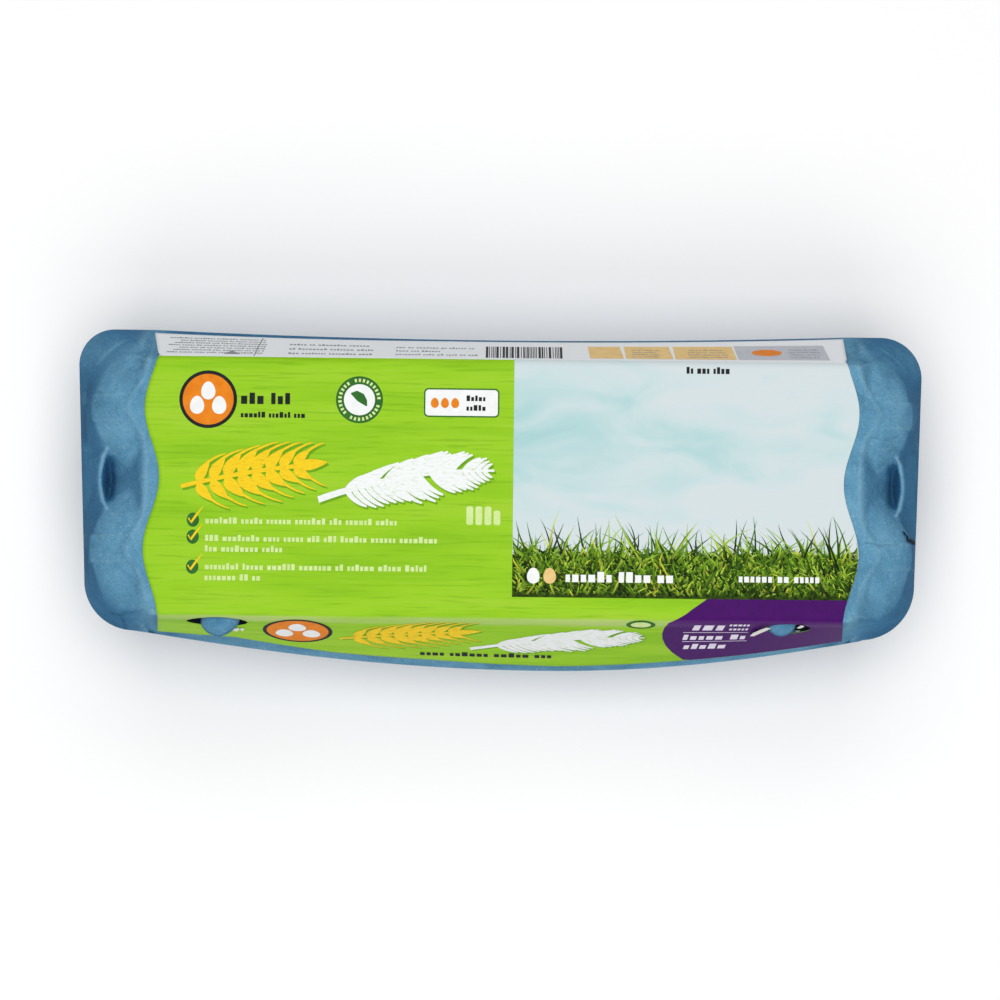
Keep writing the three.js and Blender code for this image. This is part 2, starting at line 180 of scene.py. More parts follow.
# Changes a stored mark by a function of the points.
def tuneMark(mesh, name, change):
    mark = mesh.attributes[name].data
    values = np.zeros(len(mark), np.float32)
    mark.foreach_get("value", values)
    at = readPoints(mesh)
    at[:, :2] -= middle
    mark.foreach_set("value", change(values, *at.T).astype(np.float32))


# Colour as sRGB hex, turned to the linear values that Blender works in.
def colour(hexValue):
    parts = [int(hexValue[i:i + 2], 16) / 255 for i in (1, 3, 5)]
    return tuple(c / 12.92 if c <= 0.04045 else ((c + 0.055) / 1.055) ** 2.4 for c in parts) + (1,)


# Adds a node. An input is named, or numbered where several share a name, and gets a value, a hex
# colour, a socket, or a node that it takes the result of. One that is None keeps its default.
def addNode(tree, kind, inputs=None, stops=None, **settings):
    whole = kind.startswith(("Geometry", "Function", "NodeGroup"))
    node = tree.nodes.new(kind if whole else "ShaderNode" + kind)
    for key, value in settings.items():
        setattr(node, key, value)
    if stops:
        ramp = node.color_ramp.elements
        while len(ramp) < len(stops):
            ramp.new(0.5)
        for element, (at, shade) in zip(ramp, stops):
            element.position = at
            element.color = colour(shade)
    for key, value in (inputs or {}).items():
        if isinstance(key, int):
            socket = node.inputs[key]
        else:
            socket = next(s for s in node.inputs if s.enabled and s.name == key)
        if isinstance(value, bpy.types.Node):
            value = next(s for s in value.outputs if s.enabled)
        if isinstance(value, bpy.types.NodeSocket):
            tree.links.new(value, socket)
        elif isinstance(value, str) and value.startswith("#"):
            socket.default_value = colour(value)
        elif value is not None:
            socket.default_value = value
    return node


# A new material, and addNode for its tree.
def newMaterial(name):
    material = bpy.data.materials.new(name)
    material.use_nodes = True
    material.node_tree.nodes.clear()
    return material, functools.partial(addNode, material.node_tree)


# Ends a material with its shader, which takes roughness and gloss from the finish's values.
def finished(made, add, body, finish, relief=None):
    shader = add("BsdfPrincipled", {
        "Base Color": body, "Roughness": finish["roughness"],
        "Specular IOR Level": finish["specular"], "Normal": relief})
    add("OutputMaterial", {"Surface": shader})
    return made


pulpFinish = dict(
    light="#6aa0bd",
    middle="#5b93b3",
    deep="#4d829f",
    fleck="#a3c0cf",      # pale fibres
    speck="#35607f",      # dark specks
    ridge="#82afc6",      # paler along ridges
    crease="#3a6f92",     # painted shade down in the creases
    drawnWall="#a2c4da",  # painted shade on the steep walls, which face away from the light from above
    inside="#0b1219",     # painted shade: the dark seen into a tear or latch window
    cloudSize=13,         # mm, as all sizes here
    smearSize=34,
    fibreSize=0.75,       # clumps of fibres, as one fibre is too fine to show
    lumpSize=2.6,
    screenPitch=1.3,      # mark of the forming screen
    smearDepth=2.2,
    lumpDepth=0.6,
    fibreDepth=0.3,
    screenDepth=0.15,
    roughness=0.92,
    specular=0.12,
)


# Moulded pulp from recycled paper, dyed blue and dried on a wire screen: dull all over, clouded
# and smeared, with pale and dark fibres, paler ridges, painted shade in the creases, on the steep walls and
# in openings, and a soft rough skin.
def mouldedPulp():
    made, add = newMaterial("mouldedPulp")
    place = add("TexCoord").outputs["Object"]
    steep, worn, torn = [
        add("Attribute", attribute_name=name).outputs["Fac"] for name in ("steep", "worn", "torn")]
    clouds = add("TexNoise", {
        "Vector": place, "Scale": 1000 / pulpFinish["cloudSize"], "Detail": 6,
        "Roughness": 0.62, "Distortion": 0.7})
    smears = add("TexNoise", {
        "Vector": place, "Scale": 1000 / pulpFinish["smearSize"], "Detail": 3, "Distortion": 1.5})
    lumps = add("TexNoise", {
        "Vector": place, "Scale": 1000 / pulpFinish["lumpSize"], "Detail": 5, "Roughness": 0.6})
    fibre = add("TexNoise", {
        "Vector": place, "Scale": 1000 / pulpFinish["fibreSize"], "Detail": 4,
        "Roughness": 0.7, "Distortion": 1.8})
    onRidge = add("MapRange", {"Value": worn, "From Min": 0.1, "From Max": 1.0, "To Max": 0.6})
    # painted shade down in the creases
    inCrease = add("MapRange", {"Value": worn, "From Min": -0.1, "From Max": -1.0, "To Max": 0.6})
    pale = add("MapRange", {"Value": fibre, "From Min": 0.55, "From Max": 0.72, "To Max": 0.75})
    dark = add("MapRange", {"Value": fibre, "From Min": 0.45, "From Max": 0.30, "To Max": 0.7})
    body = add("ValToRGB", {"Fac": clouds}, stops=[
        (0.3, pulpFinish["deep"]), (0.5, pulpFinish["middle"]), (0.7, pulpFinish["light"])])
    for share, shade in ((onRidge, "ridge"), (inCrease, "crease"), (pale, "fleck"), (dark, "speck")):
        body = add("Mix", {"Factor": share, "A": body, "B": pulpFinish[shade]}, data_type="RGBA")
    # painted shade: the steep walls are darkened by the steep mark
    wall = add("Mix", {"Factor": steep, "A": "#ffffff", "B": pulpFinish["drawnWall"]}, data_type="RGBA")
    body = add("Mix", {"Factor": 1.0, "A": body, "B": wall}, data_type="RGBA", blend_type="MULTIPLY")
    # painted shade: tears and openings darkened towards the dark inside
    body = add("Mix", {"Factor": torn, "A": body, "B": pulpFinish["inside"]}, data_type="RGBA")
    # a wave is 2 pi over its scale long
    wires = [add("TexWave", {
        "Vector": place, "Scale": 1000 / pulpFinish["screenPitch"] / 6.283, "Distortion": 0.6},
        bands_direction=way).outputs["Fac"] for way in "XY"]
    screen = add("Math", {0: wires[0], 1: wires[1]}, operation="MULTIPLY")
    skin = None
    for height, strength, depth in ((smears, 0.6, "smearDepth"), (lumps, 0.7, "lumpDepth"),
                                    (fibre, 0.7, "fibreDepth"), (screen, 0.3, "screenDepth")):
        skin = add("Bump", {
            "Height": height, "Strength": strength, "Distance": pulpFinish[depth] / 1000, "Normal": skin})
    return finished(made, add, body, pulpFinish, skin)


labelFinish = dict(
    green="#94c925",
    greenDeep="#87be20",
    greenLight="#9ecb32",
    streak="#72a816",     # thin dark lines of the drawn grain
    gleam="#b4d558",
    backStrip="#e9ecef",
    backFrom=1.2,         # mm, how far past the back fold the pale strip starts
    rubbed="#c0cd8f",     # painted highlight, paler just below the front fold
    streakLength=24,      # mm, along the label
    streakWidth=1.05,
    bandLength=90,
    bandWidth=11,
    rubWidth=5.5,
    rubFade=0.6,
    waveSize=22,
    toothSize=1.1,        # the paper's tooth, coarser than it really is so that it shows
    roughness=0.42,
    specular=0.04,
)


# A share that is high just below the front fold and fades over the painted highlight's strip, broken by
# noise.
def rubbedShare(add):
    sheet = add("UVMap", uv_map="sheet")
    across = add("SeparateXYZ", {0: sheet}).outputs[1]
    wide, fade = labelFinish["rubWidth"] / 1000, labelFinish["rubFade"]
    start = add("MapRange", {
        "Value": across, "From Min": (foldFrontV + fade) / 1000, "From Max": (foldFrontV - fade) / 1000})
    stop = add("MapRange", {
        "Value": across, "From Min": foldFrontV / 1000 - wide, "From Max": foldFrontV / 1000 - wide * 0.6})
    strip = add("Math", {0: start, 1: stop}, operation="MULTIPLY")
    long = add("Mapping", {"Vector": sheet, "Scale": (1, 4, 1)})
    broken = add("TexNoise", {"Vector": long, "Scale": 1000 / 40, "Detail": 4})
    patches = add("MapRange", {
        "Value": broken, "From Min": 0.3, "From Max": 0.6, "To Min": 0.25, "To Max": 0.62})
    return add("Math", {0: strip, 1: patches}, operation="MULTIPLY")


# Coated label paper, offset printed: bright green ink with a drawn grain of thin dark lines, a
# soft gloss, a painted highlight just below the front fold and very slight waves where the glue has pulled
# it. It is pale behind the back fold.
def printedPaper():
    made, add = newMaterial("printedLabelPaper")
    sheet = add("UVMap", uv_map="sheet")
    place = add("TexCoord").outputs["Object"]
    bandPlace = add("Mapping", {
        "Vector": sheet, "Scale": (1000 / labelFinish["bandLength"], 1000 / labelFinish["bandWidth"], 1)})
    bands = add("TexNoise", {"Vector": bandPlace, "Scale": 1.0, "Detail": 3})
    streakPlace = add("Mapping", {
        "Vector": sheet, "Scale": (1000 / labelFinish["streakLength"], 1000 / labelFinish["streakWidth"], 1)})
    streaks = add("TexNoise", {
        "Vector": streakPlace, "Scale": 1.0, "Detail": 3, "Roughness": 0.6, "Distortion": 0.35})
    dark = add("MapRange", {"Value": streaks, "From Min": 0.46, "From Max": 0.33, "To Max": 0.5})
    light = add("MapRange", {"Value": streaks, "From Min": 0.58, "From Max": 0.72, "To Max": 0.25})
    across = add("SeparateXYZ", {0: sheet}).outputs[1]
    onBack = add("Math", {
        0: across, 1: (foldBackV + labelFinish["backFrom"]) / 1000}, operation="GREATER_THAN")
    body = add("ValToRGB", {"Fac": bands}, stops=[
        (0.32, labelFinish["greenDeep"]), (0.5, labelFinish["green"]), (0.68, labelFinish["greenLight"])])
    # painted highlight just below the front fold
    rubbed = rubbedShare(add)
    for share, shade in ((dark, "streak"), (light, "gleam"), (rubbed, "rubbed"), (onBack, "backStrip")):
        body = add("Mix", {"Factor": share, "A": body, "B": labelFinish[shade]}, data_type="RGBA")
    waves = add("TexNoise", {"Vector": place, "Scale": 1000 / labelFinish["waveSize"], "Detail": 2})
    tooth = add("TexNoise", {"Vector": place, "Scale": 1000 / labelFinish["toothSize"], "Detail": 3})
    wavy = add("Bump", {"Height": waves, "Strength": 0.35, "Distance": 0.0006})
    skin = add("Bump", {"Height": tooth, "Strength": 0.12, "Distance": 0.0001, "Normal": wavy})
    return finished(made, add, body, labelFinish, skin)


# Printing ink of one colour on the coated paper, or bare paper, a little uneven in depth. Its
# patches have a size in mm, and where it crosses the front fold it takes another colour there as a painted
# highlight.
def printInk(name, light, deep, size=3.0, rubbed=None):
    made, add = newMaterial(name)
    patches = add("TexNoise", {
        "Vector": add("TexCoord").outputs["Object"], "Scale": 1000 / size, "Detail": 4, "Roughness": 0.6})
    body = add("ValToRGB", {"Fac": patches}, stops=[(0.35, deep), (0.65, light)])
    if rubbed:
        body = add("Mix", {"Factor": rubbedShare(add), "A": body, "B": rubbed}, data_type="RGBA")
    return finished(made, add, body, labelFinish)


sky = dict(
    left=10.0,            # mm, where the picture is bluest and where it has turned pale
    right=112.0,
    low=-20.0,
    high=50.0,
    bluestAt=0.62,        # share of the way up
    cloudSize=34.0,
    stops=((0.40, "#9fc9cb"), (0.62, "#b2d2d3"), (0.84, "#c6d8da"), (1.0, "#cfd9dc")),
)


# The printed picture's sky: pale blue-green at the upper left, whiter to the right, above and
# below, with long soft drifts of cloud.
def skyPrint():
    made, add = newMaterial("skyInkOnPaper")
    place = add("TexCoord").outputs["Object"]
    parts = add("SeparateXYZ", {0: place}).outputs
    across = add("MapRange", {
        "Value": parts[0], "From Min": sky["left"] / 1000, "From Max": sky["right"] / 1000, "To Max": 0.32})
    up = add("MapRange", {
        "Value": parts[1], "From Min": sky["low"] / 1000, "From Max": sky["high"] / 1000})
    away = add("Math", {0: up, 1: sky["bluestAt"]}, operation="SUBTRACT")
    apart = add("Math", {0: away}, operation="ABSOLUTE")
    paler = add("Math", {0: apart, 1: 0.7, 2: across}, operation="MULTIPLY_ADD")
    flat = add("Mapping", {"Vector": place, "Scale": (1, 2.4, 1), "Rotation": (0, 0, 0.3)})
    drifts = add("TexNoise", {
        "Vector": flat, "Scale": 1000 / sky["cloudSize"], "Detail": 5, "Roughness": 0.5, "Distortion": 0.8})
    total = add("Math", {0: drifts, 1: 1.15, 2: paler}, operation="MULTIPLY_ADD")
    return finished(made, add, add("ValToRGB", {"Fac": total}, stops=sky["stops"]), labelFinish)


# Printed grass: each blade has its own green, dark towards its root and yellow-lit at its tip.
def bladePrint():
    made, add = newMaterial("grassInkOnPaper")
    tone, along = [add("Attribute", attribute_name=name).outputs["Fac"] for name in ("tone", "along")]
    green = add("ValToRGB", {"Fac": tone}, stops=grass["greens"])
    depth = add("MapRange", {
        "Value": along, "From Min": 0.0, "From Max": 0.7, "To Min": grass["rootShade"], "To Max": 1.0})
    body = add("Mix", {"Factor": 1.0, "A": green, "B": depth}, data_type="RGBA", blend_type="MULTIPLY")
    return finished(made, add, body, labelFinish)


# Ink laid with a broad dry brush: thin scratches in the stroke let the green under it through.
def dryBrushInk(name, light, deep, under="#8fae22", size=2.6):
    made, add = newMaterial(name)
    place = add("TexCoord").outputs["Object"]
    turned = add("Mapping", {"Vector": place, "Rotation": (0, 0, 0.5), "Scale": (1, 3.5, 1)})
    scratch = add("TexNoise", {"Vector": turned, "Scale": 1000 / size, "Detail": 6, "Roughness": 0.75})
    body = add("ValToRGB", {"Fac": scratch}, stops=[(0.30, under), (0.37, deep), (0.52, light), (0.8, light)])
    return finished(made, add, body, labelFinish)


# The plain inks: the name of the finish, its colour, and its deeper colour in patches.
plainInks = dict(
    lilacInk=("lilacInk", "#e9e2f0", "#dcd4e6"),
    whiteInk=("whiteInk", "#f0f2f2", "#e8ebea"),
    paleInk=("paleGreenInk", "#d3e8a0", "#c6de8c"),
    shadowInk=("softShadowInk", "#6fa51c", "#659b1a"),
    darkInk=("nearBlackInk", "#26292b", "#1d2022"),
    deepGreenInk=("deepGreenInk", "#35702f", "#2c6229"),
    orangeInk=("orangeInk", "#e8871f", "#dc7a1a"),
    greyInk=("greyInk", "#8d9194", "#84888b"),
    paleGreyInk=("paleGreyInk", "#c0c3cb", "#b8bbc4"),
    tanInk=("tanInk", "#e8c888", "#e0bd7a"),
    turfInk=("darkTurfInk", "#39540d", "#172305", 1.3),
    # its last colour is the painted highlight below the front fold
    purpleInk=("purpleInk", "#491166", "#43105f", 3.0, "#613d77"),
)
brushInks = dict(
    yellowInk=("yellowBrushInk", "#f2cd24", "#e2bd20"),
    brushWhiteInk=("whiteBrushInk", "#eef1f2", "#dde6d6"),
)


def makeInks():
    inks = {name: printInk(*values) for name, values in plainInks.items()}
    inks.update({name: dryBrushInk(*values) for name, values in brushInks.items()})
    return inks | {"skyInk": skyPrint()}


lid = dict(
    leftLength=152.5,     # from the middle cups to the left end, and to the right end
    rightLength=151.1,
    leftTaper=3.2,        # how far each end draws in towards the front
    rightTaper=2.5,
    taperFrom=42.0,
    taperOver=82.0,
    halfWidth=54.5,
    frontPinch=0.35,      # the front is this much narrower on the left
    sideShift=0.7,        # from the middle cups to the middle of the box
    frontShift=6.145,     # from the middle of the rim to the middle of the box, towards the back
    frontLeftRadius=18.0,
    frontRightRadius=19.5,
    backLeftRadius=12.8,
    backRightRadius=15.0,
    frontBulge=12.6,
    bulgeCentre=15.0,
    bulgeEnd=132,
    bulgePower=1.08,
    backHollow=2.5,
    hollowEnd=125,
    frontFold=-48.4,
    backFold=42.5,
    foldRoom=2.5,
    topHalf=121.5,
    topCorner=2.0,
    top=69.3,
    seamHeight=42.0,
    seamDip=12.5,
    dipEnd=130,
    lipHeight=2.8,
    seamHalf=0.4,
    hingeHalf=126,        # the seam is shut as far as this along the hinge, and opens beyond it
    hingeSink=-0.7,
    edgeLoops=((0.12, 0.15), (0.45, 0.0)),     # over the seam and in, for the rounded lower edge
    shoulderLoops=((-0.5, 0.0), (-0.15, 0.08)),
)
lobe = dict(
    pitchX=48.6,
    pitchY=50.0,
    crown=0.6,            # its top would stand this far over the flat panel that cuts it off
    fall=0.0088,          # it falls by this times the distance squared ...
    fallFar=1.15e-5,      # ... and this times its fourth power
    furthest=(1100, 760), # distance squared past which it falls no more, at its middle and beside it
    brink=24.2,           # radius where the outer wall takes over, and the same towards the faces
    brinkFront=27.0,
    brinkBack=25.8,
    blend=2.5,            # softness of the valley between two lobes
    bandHalf=5.1,         # the flat band down the middle of each lobe
    bandSink=0.1,
    bandReach=0.8,        # how much further out its brink lies
    cornerX=127,          # nearer the middle than this it sinks away beside the panel's corners
    cornerY=34,
    cornerSink=20,
)
# The flat panel ends in a bead, further out along each egg, and slopes down to the valley.
panelEdge = dict(base=(126.5, 127.5), frontFrom=39, frontDraw=4.5, backFrom=36, backDraw=1.0,
                 wave=6.0, waveHalf=8.0, slope=1.3, bead=0.35, beadIn=1.0, beadHalf=1.1)
# The lip that closes the foot of the valley, with a pocket behind it.
valley = dict(
    lipU=143.4, lipCurve=0.022, lipHeight=57.8, lipRise=0.045, lipWide=1.3, lipSlope=3.4, lipHalf=10.0,
    lipSink=40, lipReach=16, pocketU=140.7, pocketWide=1.8, pocketHalf=8.5, pocketDepth=4.5)
# Openings of the lid's front face at the latches, and the paper's own, left and right.
window = dict(x=100.0, halfWidth=10.75, halfHeight=4.3, z=64.1, depth=22.0,
              paperX=(-100.0, 102.0), paperHalf=(10.75, 8.0))


def frontY(x):
    off = x - lid["bulgeCentre"]
    reach = lid["bulgeEnd"] - lid["bulgeCentre"] * np.sign(off)
    bow = np.maximum(0, 1 - (off / reach) ** 2) ** lid["bulgePower"]
    return -lid["halfWidth"] + lid["frontPinch"] * (1 - x / lid["bulgeEnd"]) - lid["frontBulge"] * bow


def backY(x):
    return lid["halfWidth"] - lid["backHollow"] * np.maximum(0, 1 - (x / lid["hollowEnd"]) ** 2)


def endX(y, side):
    name = "left" if side < 0 else "right"
    drawn = np.clip((lid["taperFrom"] - y) / lid["taperOver"], 0, 1)
    return lid[name + "Length"] - lid[name + "Taper"] * drawn


def seamZ(x, y):
    dip = lid["seamDip"] * np.maximum(0, 1 - (x / lid["dipEnd"]) ** 2)
    return lid["seamHeight"] - np.where(y < -40, dip, 0)


# Height of the flat long faces, from the rim to their folds, and on past them.
def faceHeight(x, y):
    rimY = np.where(y < 0, frontY(x), backY(x))
    fold = np.where(y < 0, lid["frontFold"], lid["backFold"])
    low = seamZ(x, rimY) + lid["lipHeight"]
    return low + (lid["top"] - low) * (rimY - y) / (rimY - fold)


# How far a lobe has fallen at a distance from its middle, given as its square.
def lobeDrop(squared):
    return lobe["fall"] * squared + lobe["fallFar"] * squared ** 2


# Height of the ends before the outer wall cuts them off: the flat top with the bead at its edge,
# two domed lobes with a flat band each, the soft valley between them, and the slot and its lip.
def endHeight(x, y):
    u, v = np.abs(x), np.abs(y)
    across = np.abs(v - lobe["pitchY"] / 2)
    base = np.where(x < 0, *panelEdge["base"])
    base = base - panelEdge["frontDraw"] * smooth((-y - panelEdge["frontFrom"]) / 14)
    base = base - panelEdge["backDraw"] * smooth((y - panelEdge["backFrom"]) / 10)
    beyond = u - base - panelEdge["wave"] * bump(across, panelEdge["waveHalf"])
    bead = panelEdge["bead"] * bump(beyond + panelEdge["beadIn"], panelEdge["beadHalf"])
    bead = bead * smooth((across - 4) / 5)
    ramp = softMin(faceHeight(x, y), lid["top"], 2.2) - panelEdge["slope"] * softMax(beyond, 0, 1.5)
    onBand = smooth((lobe["bandHalf"] + 0.3 - across) / 0.6)
    out = np.maximum(0, u - 2.5 * lobe["pitchX"])
    crown = lid["top"] + lobe["crown"]
    squared = out ** 2 + across ** 2 * (1 - onBand)
    near = crown - lobeDrop(np.minimum(squared, mix(*lobe["furthest"], smooth((v - 12) / 12))))
    atCorner = smooth((lobe["cornerX"] - u) / 2) * smooth((v - lobe["cornerY"]) / 6)
    near = near - lobe["bandSink"] * onBand - lobe["cornerSink"] * atCorner
    far = crown - lobeDrop(out ** 2 + (v + lobe["pitchY"] / 2) ** 2)
    lobes = softMin(softMax(near, far, lobe["blend"]), lid["top"], 1.5)
    z = np.minimum(softMax(ramp, lobes, 1.6), lid["top"]) + bead
    bow = valley["lipCurve"] * y * y
    pocket = bump(u - valley["pocketU"] + bow, valley["pocketWide"]) * smooth((valley["pocketHalf"] - v) / 4)
    z -= valley["pocketDepth"] * pocket
    inside = valley["lipU"] - bow - valley["lipWide"] - u
    lip = valley["lipHeight"] + valley["lipRise"] * np.minimum(y * y, 150)
    pastLip = smooth((v - valley["lipHalf"]) / 8)
    lip -= valley["lipSlope"] * np.maximum(0, inside) + valley["lipSink"] * pastLip
    return softMax(z, lip, 1.6)


# How far in from each rim point the outer wall meets the lobes or the valley's lip, and how high.
def brinkOf(out, inner):
    x, y = out.T
    u, v = np.abs(x), np.abs(y)
    step = inner - out
    way = step / np.linalg.norm(step, axis=1)[:, None]
    side = np.where(y < 0, -1, 1)
    centre = np.column_stack([np.sign(x) * np.minimum(u, 2.5 * lobe["pitchX"]), side * lobe["pitchY"] / 2])
    onBand = smooth((lobe["bandHalf"] + 0.5 - np.abs(v - lobe["pitchY"] / 2)) / 1.0) * (u > 145)
    atFace = np.where(y < 0, lobe["brinkFront"], lobe["brinkBack"])
    radius = mix(lobe["brink"], atFace, smooth((v - 32) / 16)) + lobe["bandReach"] * onBand
    off = out - centre
    along = (off * way).sum(1)
    root = along ** 2 - (off ** 2).sum(1) + radius ** 2
    nowhere = 60
    toLobe = np.where(root > 0, -along - np.sqrt(np.maximum(root, 0)), nowhere)
    toLip = np.where(v < valley["lipReach"], u - valley["lipU"] + valley["lipCurve"] * y * y, nowhere)
    lipHeight = valley["lipHeight"] + valley["lipRise"] * y * y
    lobeHeight = lid["top"] + lobe["crown"] - lobeDrop(radius ** 2)
    height = mix(lipHeight, lobeHeight, smooth((toLip - toLobe + 2) / 4))
    return np.maximum(2, softMin(toLobe, toLip, 2.0)), np.minimum(height, lobeHeight)


# Stations round the rim, anticlockwise from above: the rim point, the point of the flat top
# that it leads in to, and how far it has turned from an end (0) to a long face (1).
def rimStations(endStep, faceXs, cornerSteps):
    stations = []
    inLow = lid["frontFold"] + lid["foldRoom"]
    inHigh = lid["backFold"] - lid["foldRoom"]

    def inY(y):
        return y if y < 30 else mix(30, inHigh - 1, (y - 30) / 12)

    def radius(side, face):
        return lid[("front" if face < 0 else "back") + ("Left" if side < 0 else "Right") + "Radius"]

    def corner(side, face, start, stop):
        r = radius(side, face)
        halfWidth = abs(float(frontY(side * lid["bulgeEnd"]))) if face < 0 else lid["halfWidth"]
        edgeY = face * (halfWidth - r)
        centreX = float(endX(edgeY, side)) - r
        edge = inLow if face < 0 else inHigh
        for i in range(1, cornerSteps):
            t = mix(start, stop, i / cornerSteps)
            angle = t * math.pi / 2
            out = (side * (centreX + r * math.cos(angle)), face * (halfWidth - r + r * math.sin(angle)))
            u = lid["topHalf"] - max(0, t * 2 - 1) * lid["topCorner"]
            stations.append((*out, side * u, mix(inY(edgeY), edge, min(1, t * 2)), t))

    def end(side):
        low = float(frontY(side * lid["bulgeEnd"])) + radius(side, -1)
        high = lid["halfWidth"] - radius(side, 1)
        ys = np.linspace(low, high, int((high - low) / endStep))
        for y in ys if side > 0 else ys[::-1]:
            stations.append((side * float(endX(y, side)), y, side * lid["topHalf"], inY(y), 0))

    def longFace(face, xs):
        left = float(endX(face * 40, -1)) - radius(-1, face)
        right = float(endX(face * 40, 1)) - radius(1, face)
        for f in xs:
            x = mix(-left, right, (f + 1) / 2)
            y = float(frontY(x) if face < 0 else backY(x))
            u = f * (lid["topHalf"] - lid["topCorner"])
            stations.append((x, y, u, inLow if face < 0 else inHigh, 1))

    longFace(-1, faceXs)
    corner(1, -1, 1, 0)
    end(1)
    corner(1, 1, 0, 1)
    longFace(1, faceXs[::-1])
    corner(-1, 1, 1, 0)
    end(-1)
    corner(-1, -1, 0, 1)
    stations = np.array(stations)
    return stations[:, :2], stations[:, 2:4], stations[:, 4]


# How finely the lid is laid out: columns along the long faces, with more of them at their ends and
# at the latch windows, as shares of half the face, and loops up the wall and over its edge.
layout = dict(
    columns=150, fineColumns=44, endFrom=0.86, windowAt=0.735, windowHalf=0.09, endStep=0.5, cornerSteps=26,
    wallLoops=34, wallReach=16.0, topLoops=20, topFrom=16.6, reach=29.6, foldLoops=12, foldHalf=1.6)
fine = layout["fineColumns"]
near, far = layout["windowAt"] - layout["windowHalf"], layout["windowAt"] + layout["windowHalf"]
faceColumns = np.unique(np.concatenate([
    np.linspace(-1, 1, layout["columns"]),
    *[side * np.linspace(a, b, fine) for side in (-1, 1) for a, b in ((layout["endFrom"], 1), (near, far))]]))
rimOut, rimInner, rimTurn = rimStations(layout["endStep"], faceColumns, layout["cornerSteps"])
middle = np.array([lid["sideShift"], lid["frontShift"]])


# Half the height of the seam all round: shut at the hinge, and open elsewhere.
def seamGap():
    x, y = rimOut[:, 0], rimOut[:, 1]
    opening = mix(lid["hingeSink"], lid["seamHalf"], smooth((np.abs(x) - lid["hingeHalf"]) / 16))
    return np.where(y > 0, opening, lid["seamHalf"])


# A loop round the rim, a height over the seam and a way in.
def rimLoop(over, inset):
    step = rimInner - rimOut
    share = np.asarray(inset) / np.linalg.norm(step, axis=1)
    at = rimOut + step * share[:, None]
    return np.column_stack([at, seamZ(rimOut[:, 0], rimOut[:, 1]) + over])


# Loops from the rim up the wall and over the edge of the flat top. Stations at the ends and on
# the long faces share out their loops differently, so that each has the fine ones at its fold.
def lidRings():
    step = rimInner - rimOut
    whole = np.linalg.norm(step, axis=1)
    wide = np.maximum(lid["foldRoom"], np.abs(step[:, 1]))
    endShares = np.concatenate([
        np.linspace(0, layout["wallReach"], layout["wallLoops"]),
        np.linspace(layout["topFrom"], layout["reach"], layout["topLoops"])]) / layout["reach"]
    foldLoops, foldHalf = layout["foldLoops"], layout["foldHalf"]
    onFace = len(endShares) - foldLoops
    rings = []
    toBrink, brinkHeight = brinkOf(rimOut, rimInner)
    low = seamZ(rimOut[:, 0], rimOut[:, 1]) + lid["lipHeight"]
    slope = (brinkHeight - low) / toBrink
    fold = 1 - lid["foldRoom"] / wide
    for k, endShare in enumerate(endShares):
        if k < onFace:
            faceShare = (fold - foldHalf / wide) * k / onFace
        else:
            faceShare = fold + mix(-foldHalf, lid["foldRoom"], (k - onFace) / (foldLoops - 1)) / wide
        share = mix(endShare, faceShare, smooth(rimTurn))
        at = rimOut + step * share[:, None]
        x, y = at[:, 0], at[:, 1]
        atEnd = np.abs(x) > 118
        wall = low + slope * whole * share
        overFace = faceHeight(x, y) + np.where(atEnd, 2.2, 0)
        wall = np.where(rimTurn == 1, mix(overFace, wall, smooth((np.abs(x) - 125) / 2)), wall)
        top = np.where(atEnd, endHeight(x, y), lid["top"])
        rings.append(np.column_stack([at, softMin(wall, top, mix(1.5, 2.2, rimTurn))]))
    return rings


paperCorner = dict(startX=125.5, endX=134, startY=40, rounds=14)


# Heights evened out where the lobes run in under the paper's corners.
def softenCorners(rings):
    grid = np.array(rings)
    u, v, z = np.abs(grid[..., 0]), np.abs(grid[..., 1]), grid[..., 2]
    share = smooth((u - paperCorner["startX"]) / 2) * smooth((paperCorner["endX"] - u) / 4)
    share = share * smooth((v - paperCorner["startY"]) / 5)
    for _ in range(paperCorner["rounds"]):
        near = (np.roll(z, 1, 1) + np.roll(z, -1, 1) + np.roll(z, 1, 0) + np.roll(z, -1, 0)) / 4
        near[[0, -1]] = z[[0, -1]]
        z += share * (near - z)
    return list(grid)


# Below 1 inside a latch window of the lid, 1 on its outline.
def inWindow(x, y, z):
    q = ((np.abs(x) - window["x"]) / window["halfWidth"]) ** 2
    q = q + ((z - window["z"]) / window["halfHeight"]) ** 2
    return np.where(y < 0, q, 9)


# Flaws of this one carton's lid, as paths of (x, y) from the middle of the rim: tears and cracks
# with their half width, depth and darkness, and the small rings that ejector pins leave.
flaws = dict(
    tears=[
        ([(142.9, -16.3), (143.5, -17.4), (144.9, -18.5)], 0.3, 0.6, 1.0),
        ([(144.8, -18.9), (146.4, -19.4), (148.2, -19.4)], 0.75, 1.2, 1.0),
        ([(-136.2, -46.9), (-134.9, -48.7), (-134.1, -51.6), (-134.0, -53.6)], 0.35, 0.4, 0.45),
        ([(-148.8, -20.6), (-148.3, -24.5), (-147.6, -28.6)], 0.3, 0.3, 0.3),
        ([(131.2, 17.0), (136.0, 16.4), (141.2, 18.4)], 0.3, 0.25, 0.12),
        ([(128.6, -20.2), (133.5, -21.4), (140.6, -20.4)], 0.3, 0.3, 0.16),
    ],
    ragged=0.4,           # how far a tear wanders on its way down the wall
    pinRings=[(-130.0, 40.0), (-134.0, 17.0), (-139.3, -27.0), (133.0, 31.0)],
    ringRadius=1.8,
    ringHalf=0.4,
    ringDepth=0.22,
    # x and y of small rubbed spots, and half their sizes
    rubs=[(-149.6, 29.2, 1.0, 2.2), (-149.0, -22.0, 0.8, 2.4), (149.6, 15.0, 0.7, 1.6)],
)


